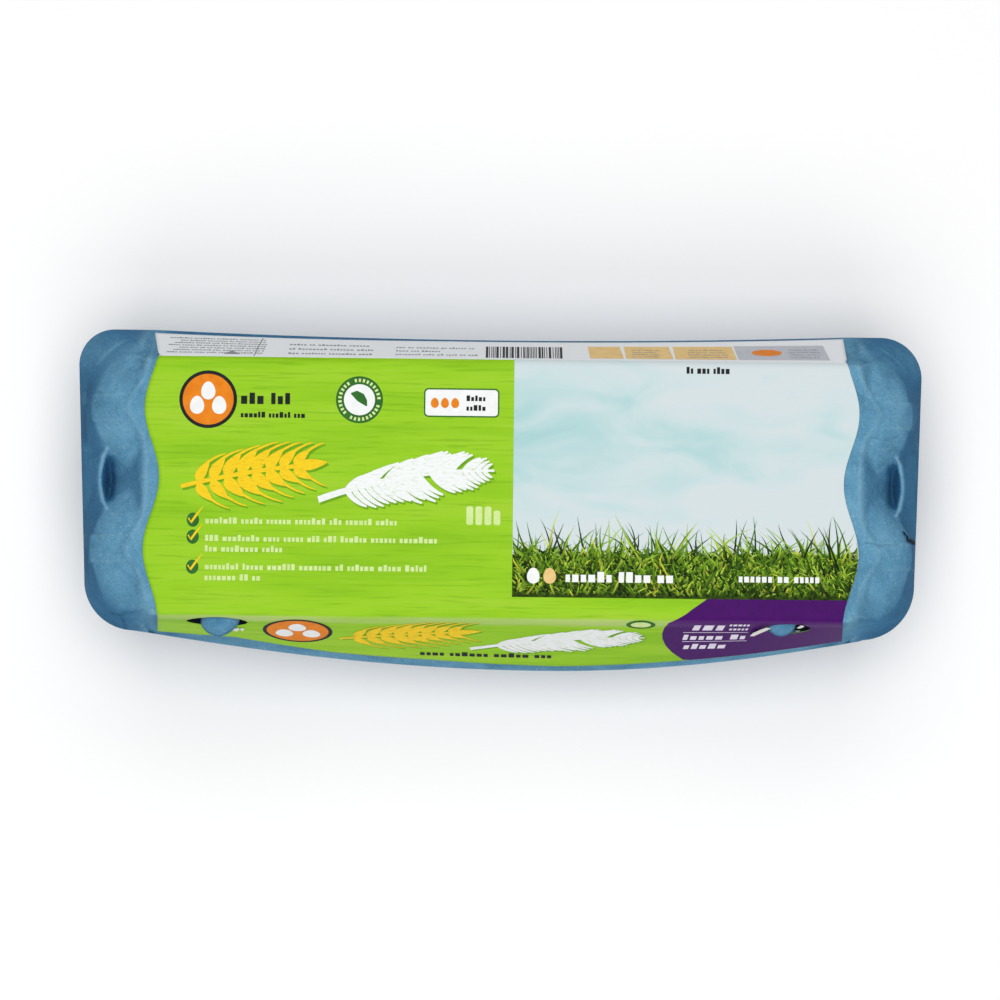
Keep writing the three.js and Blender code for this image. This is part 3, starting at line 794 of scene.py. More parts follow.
# Distance from points in plan to a path.
def fromPath(x, y, path):
    nearest = np.full(x.shape, 99.0)
    for (x0, y0), (x1, y1) in itertools.pairwise(path):
        dx, dy = x1 - x0, y1 - y0
        t = np.clip(((x - x0) * dx + (y - y0) * dy) / (dx * dx + dy * dy), 0, 1)
        nearest = np.minimum(nearest, np.hypot(x - x0 - t * dx, y - y0 - t * dy))
    return nearest


# Sets the latch windows back into the front wall, and presses in the tears and pin rings.
def pressIn(points):
    x, y, z = points.T
    q = inWindow(x, y, z)
    inside = (y < lid["frontFold"] + 3) & (q < 1)
    points[:, 1] += np.where(inside, window["depth"] * smooth((1 - q) / 0.22), 0)
    for path, half, depth, _ in flaws["tears"]:
        points[:, 2] -= depth * bump(fromPath(x, y, path), half)
    for cx, cy in flaws["pinRings"]:
        off = np.hypot(x - cx, y - cy) - flaws["ringRadius"]
        points[:, 2] -= flaws["ringDepth"] * bump(off, flaws["ringHalf"])


# Moulded unevenness of the lid's bare ends: height and hill size in mm, and seed, of each grade.
moulding = dict(grades=((0.22, 11, 3), (0.12, 4.5, 8)), sink=0.1, startX=116, underPaper=0.25)


def makeLid(material):
    gap = seamGap()
    rings = [rimLoop(gap - 0.25, 4.0), rimLoop(gap, 0.5)]
    rings += [rimLoop(gap + over, inset) for over, inset in lid["edgeLoops"]]
    rings += [rimLoop(lid["lipHeight"] + over, inset) for over, inset in lid["shoulderLoops"]]
    rings += softenCorners(lidRings())[1:]
    points = np.concatenate(rings)
    count = len(rimOut)
    bare = np.tile(1 - smooth(rimTurn * 1.5), len(rings))
    ends = smooth((np.abs(points[:, 0]) - moulding["startX"]) / 8) * mix(moulding["underPaper"], 1, bare)
    rough = sum(height * uneven(points, size, seed) for height, size, seed in moulding["grades"])
    points[:, 2] += rough * ends - moulding["sink"] * ends
    pressIn(points)
    faces = ringFaces(len(rings), count).tolist()
    top = (len(rings) - 1) * count
    faces.append(list(range(top, top + count)))
    points[:, :2] = np.clip(points[:, :2] + middle, cartonLow[:2] + 0.02, cartonHigh[:2] - 0.02)
    return makeObject("lid", points, faces, material)


# How the lid's marks are changed.
marks = dict(
    darkU=140.9,          # line of the painted shade in the pocket, its half width and half length
    darkHalf=1.5,
    darkLong=8.2,
    wallDark=0.4,         # painted shade of the wall that rises from it
    # painted shade down in the pocket
    creaseDark=1.6,
    lipWear=0.45,         # less of the paler ridge along the lip
    # painted shade along the pocket's foot
    footDark=0.1,
    frontPlain=0.85,      # share of the painted wall shade taken away beside the paper's corners
    plainX=124.5,
    wornX=125,
    windowEdge=1.3,       # the painted shade of a latch window reaches this far past its outline
    # painted shade on the latch buttons, as on a steep wall
    buttonSteep=0.55,
)


# Marks of the lid: painted shade in the pocket behind each lip, none of the painted wall shade beside the
# paper's corners and along the front rim, and painted shade at the tears and in the latch windows.
def tuneLid(mesh):
    # painted shade down in the pocket behind each lip
    def pocketLine(x, y):
        return np.abs(x) - marks["darkU"] + valley["lipCurve"] * y * y

    def pocketShare(x, y):
        off = pocketLine(x, y)
        core = smooth(1.5 - (off / marks["darkHalf"]) ** 2 - (y / marks["darkLong"]) ** 2)
        wall = smooth((off + 6) / 3) * smooth(1 - off) * smooth((9 - np.abs(y)) / 4)
        return np.maximum(core, marks["wallDark"] * wall)

    # paler along ridges, painted shade in the creases and the pocket, and no crease shade beside the paper's
    # corners
    def wear(mark, x, y, z):
        u, v = np.abs(x), np.abs(y)
        onLip = smooth((u - marks["darkU"] - 1) / 1.5) * smooth((14 - v) / 4)
        mark = np.where(mark > 0, mark * (1 - marks["lipWear"] * onLip), mark)
        mark = mark - (mark + marks["creaseDark"]) * pocketShare(x, y)
        besidePaper = bump(u - marks["wornX"], 6) * smooth((v - 34) / 4)
        mark = mix(mark, np.maximum(mark, 0), besidePaper)
        for cx, cy, halfX, halfY in flaws["rubs"]:
            mark = np.where((np.abs(x - cx) < halfX) & (np.abs(y - cy) < halfY), 1, mark)
        return mark

    # painted shade on the steep walls, taken away beside the paper's corners and along the front rim, and
    # added in the pocket
    def slant(mark, x, y, z):
        u, v = np.abs(x), np.abs(y)
        besidePaper = marks["frontPlain"] * bump(u - marks["plainX"], 4.5) * smooth((v - 36) / 4)
        frontRim = smooth((122 - u) / 14) * smooth((-y - 50) / 4)
        return np.maximum(mark * (1 - np.maximum(besidePaper, frontRim)), pocketShare(x, y))

    # painted shade: the latch windows, the pocket's foot and the tears, darkened towards the dark inside
    def opening(mark, x, y, z):
        low = seamZ(x, frontY(x)) + lid["lipHeight"]
        face = mix(frontY(x), lid["frontFold"], (z - low) / (lid["top"] - low))
        deep = smooth((y - face + 1.5) / 1.0) * smooth((marks["windowEdge"] - inWindow(x, y, z)) / 0.15)
        foot = smooth(1.4 - np.abs(pocketLine(x, y) + 0.2)) * smooth((8 - np.abs(y)) / 4)
        deep = np.maximum(deep, marks["footDark"] * foot)
        for path, half, _, dark in flaws["tears"]:
            ragged = fromPath(x, y + flaws["ragged"] * np.sin(1.3 * z + 0.4 * x), path)
            deep = np.maximum(deep, dark * smooth((1.6 - ragged / half) / 0.9))
        return deep

    for name, change in (("worn", wear), ("steep", slant), ("torn", opening)):
        tuneMark(mesh, name, change)


trayRim = dict(
    step=0.6,             # how far the tray's rim lies in from the lid's
    thick=2.6,
    apronSlope=0.3,
    apronLow=25.5,
    apron=((1.9, 0), (1.3, 0), (0.8, 0.2), (0.4, 0.2)),    # shares of the flange's width, and drops
    rough=0.12,
)
cup = dict(
    profile=[(0, 0.8), (6.6, 0.8), (8.4, 0.15), (9.2, 0), (11.2, 0), (12.6, 0.35), (14, 1.5), (15.9, 4.6),
             (17.6, 8.5), (19.4, 13.2), (20.9, 18), (22.1, 24)],
    web=30.0,             # height of the webs between neighbours
    post=45.0,            # height of the hollow under each post
    outer=43.0,           # the outer sides run up into the flange
    facetHalf=5.0,
    facetProud=0.45,
    segments=96,
)


def makeTrayRim(material):
    gap = seamGap()
    low = -lid["seamHalf"] - trayRim["thick"]
    step = rimInner - rimOut
    wall = np.maximum(6, mix(6, np.abs(rimOut[:, 1]) - 48, rimTurn))
    seam = seamZ(rimOut[:, 0], rimOut[:, 1])
    loops = []
    for extra, drop in trayRim["apron"]:
        at = rimOut + step * ((wall * extra) / np.linalg.norm(step, axis=1))[:, None]
        z = np.maximum(trayRim["apronLow"], seam + low - trayRim["apronSlope"] * wall * extra - drop)
        loops.append(np.column_stack([at, z]))
    loops += [
        rimLoop(low - 0.25, 1.6),
        rimLoop(low, trayRim["step"] + 0.35),
        rimLoop(low + 0.3, trayRim["step"]),
        rimLoop(-gap - 0.35, trayRim["step"]),
        rimLoop(-gap, trayRim["step"] + 0.35),
        rimLoop(-gap + 0.25, 4.2),
    ]
    points = np.concatenate(loops)
    points[:, 2] += trayRim["rough"] * uneven(points, 9, 21) * smooth((44 - points[:, 2]) / 6)
    points[:, :2] += middle
    return makeObject("trayRim", points, ringFaces(len(loops), len(rimOut)), material)


# One cup seen from below, out to the middle of the webs round it. Its sides towards the rim,
# given as x and y directions, run up into the flange instead.
def makeCupCell(name, outerX, outerY):
    halfX, halfY = lobe["pitchX"] / 2, lobe["pitchY"] / 2
    count = cup["segments"]
    angles = (np.arange(count) + 0.5) * 2 * math.pi / count
    cos, sin = np.cos(angles), np.sin(angles)
    reach = np.minimum(halfX / np.abs(cos), halfY / np.abs(sin))
    rounded = ((np.abs(cos) / halfX) ** 4 + (np.abs(sin) / halfY) ** 4) ** -0.25
    reach = np.where((cos * outerX > 0) & (sin * outerY > 0), rounded, reach)
    edgeX, edgeY = reach * cos, reach * sin
    # along the cell's edge: web at the middle of a side, post hollow at its corners
    along = np.where(np.abs(edgeX) > halfX - 0.01, np.abs(edgeY) / halfY, np.abs(edgeX) / halfX)
    edgeZ = mix(cup["web"], cup["post"], smooth((along - 0.35) / 0.6))
    atOuter = np.maximum(
        smooth((edgeX * outerX - halfX * 0.55) / (halfX * 0.3)) if outerX else 0,
        smooth((edgeY * outerY - halfY * 0.55) / (halfY * 0.3)) if outerY else 0)
    edgeZ = mix(edgeZ, cup["outer"], atOuter)
    r, z = np.array(cup["profile"], float).T
    fine = np.concatenate([np.linspace(r[i], r[i + 1], 4)[:-1] for i in range(len(r) - 1)] + [[r[-1]]])
    fineZ = np.interp(fine, r, z)
    for _ in range(2):  # round the corners of the profile
        fineZ[1:-1] = (fineZ[:-2] + 2 * fineZ[1:-1] + fineZ[2:]) / 4
    sides = ((sin, cos), (sin, -cos), (cos, sin), (cos, -sin))
    facet = sum(smooth((cup["facetHalf"] - np.abs(a * 21)) / 0.8) * (b > 0) for a, b in sides)
    rings = []
    for radius, height in zip(fine, fineZ):
        wide = radius + cup["facetProud"] * facet * smooth((height - 3) / 5)
        rings.append(np.column_stack([wide * cos, wide * sin, np.full(count, height)]))
    startR, startZ = fine[-1] + cup["facetProud"] * facet, fineZ[-1]
    for t in np.linspace(0, 1, 13)[1:]:
        radius = mix(startR, reach, t ** 1.6)
        rise = mix(1 - (1 - t) ** 2.4, t, 0.15)
        rings.append(np.column_stack([radius * cos, radius * sin, mix(startZ, edgeZ, rise)]))
    return makeObject(name, np.concatenate(rings), ringFaces(len(rings), count)[:, ::-1].tolist())


# Places a cell along a row of cups, and the same row turned half round for the other side.
def cupRowTree(cell, material):
    tree = bpy.data.node_groups.new("cupRows", "GeometryNodeTree")
    for name, kind in (("Cups", "Int"), ("Pitch", "Float"), ("Start", "Vector"), ("Centre", "Vector")):
        tree.interface.new_socket(name, in_out="INPUT", socket_type="NodeSocket" + kind)
    tree.interface.new_socket("Geometry", in_out="OUTPUT", socket_type="NodeSocketGeometry")
    add = functools.partial(addNode, tree)
    given = add("NodeGroupInput").outputs
    source = add("GeometryNodeObjectInfo", {"Object": cell}).outputs["Geometry"]
    step = add("CombineXYZ", {0: given["Pitch"]})
    line = add("GeometryNodeMeshLine", {
        "Count": given["Cups"], "Start Location": given["Start"], "Offset": step})
    placed = add("GeometryNodeInstanceOnPoints", {"Points": line, "Instance": source})
    row = add("GeometryNodeRealizeInstances", {0: placed})
    turned = add("GeometryNodeTransform", {
        "Geometry": row, "Rotation": (0, 0, math.pi), "Translation": given["Centre"]})
    both = add("GeometryNodeJoinGeometry", {0: row})
    tree.links.new(turned.outputs[0], both.inputs[0])
    solid = add("GeometryNodeRealizeInstances", {0: both})
    painted = add("GeometryNodeSetMaterial", {"Geometry": solid, "Material": material})
    add("NodeGroupOutput", {0: painted})
    return tree


# Gives an object a Geometry Nodes modifier, sets its inputs by name and applies it.
def grow(piece, tree, values):
    nodes = piece.modifiers.new("nodes", "NODES")
    nodes.node_group = tree
    for item in tree.interface.items_tree:
        if item.in_out == "INPUT" and item.name in values:
            nodes[item.identifier] = values[item.name]
    return applied(piece)


def makeTrayCups(material):
    pitch = lobe["pitchX"] / 1000
    startX, rowY = lid["sideShift"] / 1000, (lid["frontShift"] - lobe["pitchY"] / 2) / 1000
    joined = bmesh.new()
    for name, outerX, count, back in (("middle", 0, 4, 1.5), ("left", -1, 1, 2.5), ("right", 1, 1, -2.5)):
        cell = makeCupCell(f"cell{name}", outerX, -1)
        cups = linked(f"cups{name}", bpy.data.meshes.new(f"cups{name}"))
        grow(cups, cupRowTree(cell, material), {
            "Cups": count, "Pitch": pitch, "Start": (startX - back * pitch, rowY, 0),
            "Centre": (2 * lid["sideShift"] / 1000, 2 * lid["frontShift"] / 1000, 0)})
        joined.from_mesh(cups.data)
        for used in (cell, cups):
            bpy.data.objects.remove(used)
    bmesh.ops.remove_doubles(joined, verts=joined.verts, dist=0.00005)
    mesh = bpy.data.meshes.new("trayCups")
    joined.to_mesh(mesh)
    joined.free()
    at = readPoints(mesh)
    lift = smooth((at[:, 2] - 2) / 6)
    at[:, 0] += lift * (0.25 * uneven(at, 12, 31) + 0.1 * uneven(at, 4, 37))
    at[:, 1] += lift * 0.25 * uneven(at, 12, 33)
    writePoints(mesh, at)
    mesh.materials.clear()
    mesh.materials.append(material)
    mesh.shade_smooth()
    return linked("trayCups", mesh)


# The left one stands out more than the right one, which sits smaller and higher.
latchButton = dict(
    half=((6.9, 5.5, 3.9), (5.2, 4.6, 3.7)),
    centre=((-98.9, -50.3, 63.8), (99.6, -48.9, 64.2)),
    taper=(0.32, 0.05),    # how much slimmer it is at its right end
    lift=1.6,              # how far up the slim end moves
    power=2.35,            # 2 is an ellipsoid, more is squarer
    outline=2.05,
    lean=0.06,
    rough=0.16,
    around=64,
    rings=27,
)


def makeLatchButtons(material):
    power, outline, around, rings = [latchButton[name] for name in ("power", "outline", "around", "rings")]
    angles = np.linspace(0, 2 * math.pi, around, endpoint=False)
    cos, sin = np.cos(angles), np.sin(angles)
    points, faces = [], []
    for number, ((a, b, c), centre) in enumerate(zip(latchButton["half"], latchButton["centre"])):
        loops = []
        for tilt in np.linspace(-math.pi / 2 + 0.06, math.pi / 2 - 0.06, rings):
            ring = np.abs(math.cos(tilt)) ** (2 / power)
            x = a * ring * np.sign(cos) * np.abs(cos) ** (2 / outline)
            y = b * ring * np.sign(sin) * np.abs(sin) ** (2 / outline)
            z = np.full(around, c * math.copysign(abs(math.sin(tilt)) ** (2 / power), tilt))
            slim = 1 - latchButton["taper"][number] * np.maximum(0, x / a) ** 1.3
            slimY = y * slim + latchButton["lift"] * (1 - slim)
            loops.append(np.column_stack([x, slimY, z + latchButton["lean"] * np.minimum(0, y)]))
        shell = np.concatenate(loops)
        rough = latchButton["rough"] * uneven(shell + number * 50, 3.5, 5)
        shell += rough[:, None] * np.array([0.4, 1, 1])
        shell += np.array(centre)
        shell[:, :2] += middle
        first = number * around * rings
        points.append(shell)
        faces += ringFaces(rings, around, first).tolist()
        faces.append(list(range(first + around - 1, first - 1, -1)))
        faces.append(list(range(first + (rings - 1) * around, first + rings * around)))
    return makeObject("latchButtons", np.concatenate(points), faces, material)


label = dict(
    lift=0.46,            # outer face over the lid
    thick=0.2,
    reach=123.5,          # half its length, and the wave of its ends
    wave=2.7,
    waveLong=50,
    foldHalf=2.5,
    backFlare=(3.0, 0.4),  # how much longer it is at its back edge than at the fold, left and right
    frontFlare=(1.6, 1.6),
    frontStrip=[(-122, 1.5), (-95, 3.6), (-60, 2.5), (-25, 2.8), (20, 2.0), (55, 2.2), (80, 2.0), (122, 1.6)],
    backStrip=[(-122, 1.8), (-60, 1.6), (-20, 1.2), (122, 1.1)],    # pulp left bare below the paper
    columns=161,
    rows=dict(back=20, fold=14, flat=62, front=27),
    slack=0.06,           # how far it lies unevenly down towards the lid
    slackSize=17,
)
shift = lid["frontShift"]
foldFrontV = lid["frontFold"] + shift
foldBackV = lid["backFold"] + shift


def labelReach(v):
    y = np.clip(v - shift, lid["frontFold"], lid["backFold"] + 2)
    turn = 2 * math.pi * (np.abs(y) - label["waveLong"] / 2) / label["waveLong"]
    return label["reach"] + label["wave"] * np.cos(turn)


# A face of the lid at a length x: its fold line and its slope down, for the paper's outer face
# a given lift off the lid.
def paperFace(x, front, lift):
    side = -1 if front else 1
    rimY = frontY(x) if front else backY(x)
    fold = lid["frontFold"] if front else lid["backFold"]
    rise = lid["top"] - seamZ(x, rimY) - lid["lipHeight"]
    plan = np.abs(rimY - fold)
    length = np.hypot(plan, rise)
    creaseY = fold + side * lift * (length - plan) / rise + shift
    return creaseY, side * plan / length, -rise / length, length


# Point of the paper at u along the carton and v across it: v is y on the flat top, and goes on
# past each fold by the way down the face.
def sheetPoints(u, v, lift):
    u, v = np.broadcast_arrays(np.asarray(u, float), np.asarray(v, float))
    z = np.full(u.shape, lid["top"] + lift)
    y = v.copy()
    h = label["foldHalf"]
    for front in (True, False):
        side = -1 if front else 1
        fold = foldFrontV if front else foldBackV
        creaseY, dy, dz, _ = paperFace(u, front, lift)
        s = side * (v - fold)
        t = np.clip((s + h) / (2 * h), 0, 1)
        past = np.maximum(s - h, 0)
        startY, startZ = creaseY - side * h, lid["top"] + lift
        endY, endZ = creaseY + dy * h, lid["top"] + lift + dz * h
        curveY = (1 - t) ** 2 * startY + 2 * t * (1 - t) * creaseY + t * t * endY + dy * past
        curveZ = (1 - t) ** 2 * startZ + 2 * t * (1 - t) * startZ + t * t * endZ + dz * past
        y = np.where(s > -h, curveY, y)
        z = np.where(s > -h, curveZ, z)
    return np.stack([u + lid["sideShift"], y, z], -1)


# Where the paper ends, as v, on the front and back faces.
def edgeV(u, front):
    strip = label["frontStrip"] if front else label["backStrip"]
    inset = np.interp(u, [p[0] for p in strip], [p[1] for p in strip])
    _, dy, _, length = paperFace(u, front, label["lift"])
    way = length - inset / np.abs(dy)
    return foldFrontV - way if front else foldBackV + way


# Where each point lies on the flat sheet, in metres, for the materials.
def addSheetUv(mesh, place):
    sheet = mesh.uv_layers.new(name="sheet")
    loops = np.zeros(len(mesh.loops), int)
    mesh.loops.foreach_get("vertex_index", loops)
    sheet.data.foreach_set("uv", place[loops].ravel())


# Turns the faces of a closed piece outwards.
def faceOutwards(piece):
    closed = bmesh.new()
    closed.from_mesh(piece.data)
    bmesh.ops.recalc_face_normals(closed, faces=closed.faces)
    closed.to_mesh(piece.data)
    closed.free()


def windowCutter(side):
    count = 48
    angles = np.linspace(0, 2 * math.pi, count, endpoint=False)
    x = window["paperX"][side > 0] + lid["sideShift"] + window["paperHalf"][side > 0] * np.cos(angles)
    z = window["z"] + window["halfHeight"] * np.sin(angles)
    loops = [np.column_stack([x, np.full(count, y), z]) for y in (-30.0, -75.0)]
    faces = ringFaces(2, count)[:, ::-1].tolist()
    faces += [list(range(count)), list(range(2 * count - 1, count - 1, -1))]
    piece = makeObject(f"cutter{side}", np.concatenate(loops), faces, flat=True)
    faceOutwards(piece)
    return piece


def makeLabel(material, paper):
    columns = np.linspace(-1, 1, label["columns"])
    rows = label["rows"]
    h = label["foldHalf"] + 0.5
    # the side flares out on each face: past the fold the paper is longer
    backEdge, frontEdge = [np.where(columns < 0, *label[name]) for name in ("backFlare", "frontFlare")]
    us, vs = [], []
    for f in np.linspace(0, 1, rows["back"])[:-1]:
        u = columns * (labelReach(foldBackV) + backEdge * (1 - f))
        us.append(u)
        vs.append(mix(edgeV(u, False), foldBackV + h, f))
    backFold = mix(foldBackV + h, foldBackV - h, np.linspace(0, 1, rows["fold"])[:-1])
    frontFold = mix(foldFrontV + h, foldFrontV - h, np.linspace(0, 1, rows["fold"])[1:])
    for v in [*backFold, *np.linspace(foldBackV - h, foldFrontV + h, rows["flat"]), *frontFold]:
        us.append(columns * labelReach(np.full(len(columns), v)))
        vs.append(np.full(len(columns), v))
    for f in np.linspace(0, 1, rows["front"])[1:]:
        u = columns * (labelReach(foldFrontV) + frontEdge * f)
        us.append(u)
        vs.append(mix(foldFrontV - h, edgeV(u, True), f))
    us, vs = np.array(us), np.array(vs)
    lift = label["lift"] - label["slack"]
    lift = lift + label["slack"] * uneven(np.stack([us, vs], -1), label["slackSize"], 4)
    outer = sheetPoints(us, vs, label["lift"])
    outer[..., 2] += np.minimum(0, lift - label["lift"])
    piece = makeObject("labelPaper", outer.reshape(-1, 3), gridFaces(*us.shape)[:, ::-1].tolist(), material)
    addSheetUv(piece.data, np.stack([us, vs], -1).reshape(-1, 2) / 1000)
    piece.data.materials.append(paper)
    wall = piece.modifiers.new("thickness", "SOLIDIFY")
    wall.thickness = label["thick"] / 1000
    wall.offset = -1
    wall.material_offset = 1
    wall.material_offset_rim = 1
    cutters = [windowCutter(side) for side in (-1, 1)]
    for cutter in cutters:
        cut = piece.modifiers.new("window", "BOOLEAN")
        cut.object = cutter
        cut.solver = "EXACT"
    applied(piece)
    for cutter in cutters:
        bpy.data.objects.remove(cutter)
    return piece


# Bits of the paper torn up at the latches, bare white on the side that shows. Each is an outline
# in (u, v) and how far its two ends stand off the sheet.
tornBits = dict(
    bits=[
        ([(88.8, -53.8), (89.6, -50.6), (92.2, -46.6), (94.0, -44.6), (95.6, -45.2), (94.4, -47.6),
          (91.8, -51.4), (90.2, -54.0)], 0.5, 1.6),
        ([(104.8, -46.6), (105.3, -44.6), (106.2, -43.2), (107.3, -44.0), (106.8, -45.6), (106.0, -46.8)],
         0.6, 1.2),
        ([(104.4, -49.4), (105.6, -50.4), (106.2, -48.8)], 0.3, 0.8),
        ([(-95.0, -53.2), (-93.6, -54.2), (-92.8, -52.8), (-92.4, -54.6), (-93.6, -57.4), (-94.8, -56.4)],
         0.15, 0.4),
        ([(-91.6, -52.8), (-90.7, -54.4), (-91.4, -57.0), (-92.3, -55.2)], 0.15, 0.4),
        ([(-97.0, -55.0), (-95.6, -56.0), (-95.8, -57.8), (-97.4, -56.8)], 0.15, 0.35),
    ],
    thick=0.14,
)


def makeTornBits(material):
    points, faces = [], []
    for outline, low, high in tornBits["bits"]:
        ring = np.array(outline)
        along = (ring[:, 1] - ring[:, 1].min()) / np.ptp(ring[:, 1])
        off = label["lift"] + mix(low, high, along)
        first, count = len(points), len(ring)
        for drop in (0, tornBits["thick"]):
            points += [sheetPoints(u, v, lift - drop).tolist() for (u, v), lift in zip(ring, off)]
        for i in range(count):
            j = (i + 1) % count
            faces.append([first + i, first + j, first + count + j, first + count + i])
        for a, b, c in tessellate_polygon([[Vector((u, v, 0)) for u, v in outline]]):
            faces.append([first + a, first + b, first + c])
            faces.append([first + count + c, first + count + b, first + count + a])
    points = np.minimum(points, [999, 999, cartonHigh[2] - 0.05])
    piece = makeObject("tornPaper", points, faces, material, flat=True)
    faceOutwards(piece)
    return piece


ink = dict(
    layer=0.03,           # height of one ink over the one below it, mm
    stagger=0.06,         # share of that between shapes of one ink, so that they can overlap
    staggers=12,
    step=4.0,             # longest run before a shape bends with the paper
    eggPoint=0.14,        # how much narrower a printed egg is at its top
    shadow=(0.6, -0.75),
)
printJobs = {}


# Notes a shape of ink for the label: an outline in (u, v), its layer and any holes.
def lay(name, outline, layer=1, holes=()):
    printJobs.setdefault(name, []).append((outline, layer, holes))


def oval(u, v, halfU, halfV, count=40, point=0.0):
    angles = np.arange(count) * 2 * math.pi / count
    narrow = 1 - point * np.sin(angles)
    return [(u + halfU * n * math.cos(a), v + halfV * math.sin(a)) for a, n in zip(angles, narrow)]


def box(u0, v0, u1, v1):
    return [(u0, v0), (u1, v0), (u1, v1), (u0, v1)]


def roundedBox(u0, v0, u1, v1, radius):
    points = []
    for cu, cv, start in ((u1 - radius, v1 - radius, 0), (u0 + radius, v1 - radius, 90),
                          (u0 + radius, v0 + radius, 180), (u1 - radius, v0 + radius, 270)):
        for k in range(6):
            a = math.radians(start + 18 * k)
            points.append((cu + radius * math.cos(a), cv + radius * math.sin(a)))
    return points


# A stroke along a path of (u, v, width) points.
def stroke(path):
    path = np.array(path, float)
    along = np.gradient(path[:, :2], axis=0)
    side = np.column_stack([-along[:, 1], along[:, 0]]) / np.linalg.norm(along, axis=1)[:, None]
    left = path[:, :2] + side * path[:, 2:3] / 2
    right = path[:, :2] - side * path[:, 2:3] / 2
    return [tuple(p) for p in np.concatenate([left, right[::-1]])]


# A line of small plain blocks in groups, as a line of small print looks from a step away.
def blockLine(name, u0, u1, v, height, seed, layer=1, wide=0.5, slant=0.0):
    draw = random.Random(seed)
    low = v - height / 2
    u = u0
    while u < u1 - height:
        for _ in range(draw.randint(2, 8)):
            width = height * wide * draw.uniform(0.7, 1.25)
            if u + width > u1:
                return
            tall = height * draw.choice((0.68, 0.68, 0.68, 0.95))
            lean = slant * tall
            block = [(u, low), (u + width, low), (u + width + lean, low + tall), (u + lean, low + tall)]
            lay(name, block, layer)
            u += width + height * 0.2
        u += height * 0.45


# A drop with its point at one end, turned by an angle.
def dropShape(u, v, length, width, turn, count=20):
    shape = []
    for a in np.linspace(0, 2 * math.pi, count, endpoint=False):
        along = length * (1 - math.cos(a)) / 2
        side = width * 0.6 * math.sin(a) * (0.65 + 0.35 * math.cos(a))
        shape.append((u + along * math.cos(turn) - side * math.sin(turn),
                      v + along * math.sin(turn) + side * math.cos(turn)))
    return shape


wheat = dict(length=49.0, pairs=8, first=5.5, spacing=4.9, grain=(9.6, 5.0), awn=8.5, stem=1.3, spread=0.82)


# An ear of wheat along a bent stem, drawn with a broad brush, in millimetres from its root.
def wheatShapes():
    def stemAt(along):
        return 0.15 * along - 0.0016 * (along - 24) ** 2

    ends = np.linspace(0, wheat["length"] - 5, 14)
    shapes = [stroke([(along, stemAt(along), wheat["stem"]) for along in ends])]
    for k in range(wheat["pairs"]):
        along = wheat["first"] + wheat["spacing"] * k
        grow = 1 - 0.07 * abs(k - 3)
        length, width = [grow * size for size in wheat["grain"]]
        for side in (-1, 1):
            turn = side * (wheat["spread"] - 0.035 * k) + 0.12
            rootU, rootV = along, stemAt(along) + side * 0.7
            shapes.append(dropShape(rootU, rootV, length, width, turn))
            tipU, tipV = rootU + length * math.cos(turn), rootV + length * math.sin(turn)
            awn = [(tipU - 1 + wheat["awn"] * grow * s, tipV - side * 0.8 + side * (4.6 * s - 1.6 * s * s),
                    0.9 - 0.6 * s) for s in np.linspace(0, 1, 6)]
            shapes.append(stroke(awn))
    tip = wheat["length"] - 7
    shapes.append(dropShape(tip, stemAt(tip), wheat["grain"][0], wheat["grain"][1] * 0.8, 0.12))
    return shapes


feather = dict(length=62.0, barbs=22, first=10.0, spacing=2.3, barb=9.6, width=2.0, quill=(2.0, 0.7), seed=7,
               parted=((5, 1), (12, -1), (17, 1)))      # gaps where barbs have come apart


# A feather drawn with a broad brush, the same way.
def featherShapes():
    def quillAt(along):
        return 0.13 * along - 0.0026 * (along - 34) ** 2

    draw = random.Random(feather["seed"])
    steps = np.linspace(0, 1, 20)
    shapes = [stroke([
        (feather["length"] * s, quillAt(feather["length"] * s), mix(*feather["quill"], s)) for s in steps])]
    for k in range(feather["barbs"]):
        along = feather["first"] + feather["spacing"] * k
        full = math.sin(math.pi * min(1, 0.2 + 0.8 * k / feather["barbs"])) ** 0.55
        for side in (-1, 1):
            if (k, side) in feather["parted"]:
                continue
            reach = feather["barb"] * full * draw.uniform(0.88, 1.08)
            shapes.append(stroke([
                (along + reach * (0.75 * s + 0.3 * s * s), quillAt(along) + side * reach * (s - 0.3 * s * s),
                 feather["width"] * (1 - 0.72 * s * s) * (0.6 + 0.4 * full)) for s in np.linspace(0, 1, 7)]))
    return shapes


# Lays shapes drawn in their own millimetres, with a soft shadow a little below and to the right.
# The first is the stem, which lies over the rest.
def layMotif(shapes, name, u, v, scale, layer=2):
    du, dv = ink["shadow"]
    for k, shape in enumerate(shapes):
        placed = [(u + scale[0] * a, v + scale[1] * b) for a, b in shape]
        lay("shadowInk", [(a + du, b + dv) for a, b in placed], layer - (1.7 if k == 0 else 1))
        lay(name, placed, layer + (0.8 if k == 0 else 0))


# A badge: a dark ring and an orange field with three eggs, from their half sizes.
def layBadge(u, v, ring, field, egg, apart, low, high):
    lay("darkInk", oval(u, v, *ring, 56))
    lay("orangeInk", oval(u, v, *field, 56), 2)
    for du, dv in ((-apart, low), (apart, low), (0, high)):
        lay("whiteInk", oval(u + du, v + dv, *egg, 28, ink["eggPoint"]), 3)


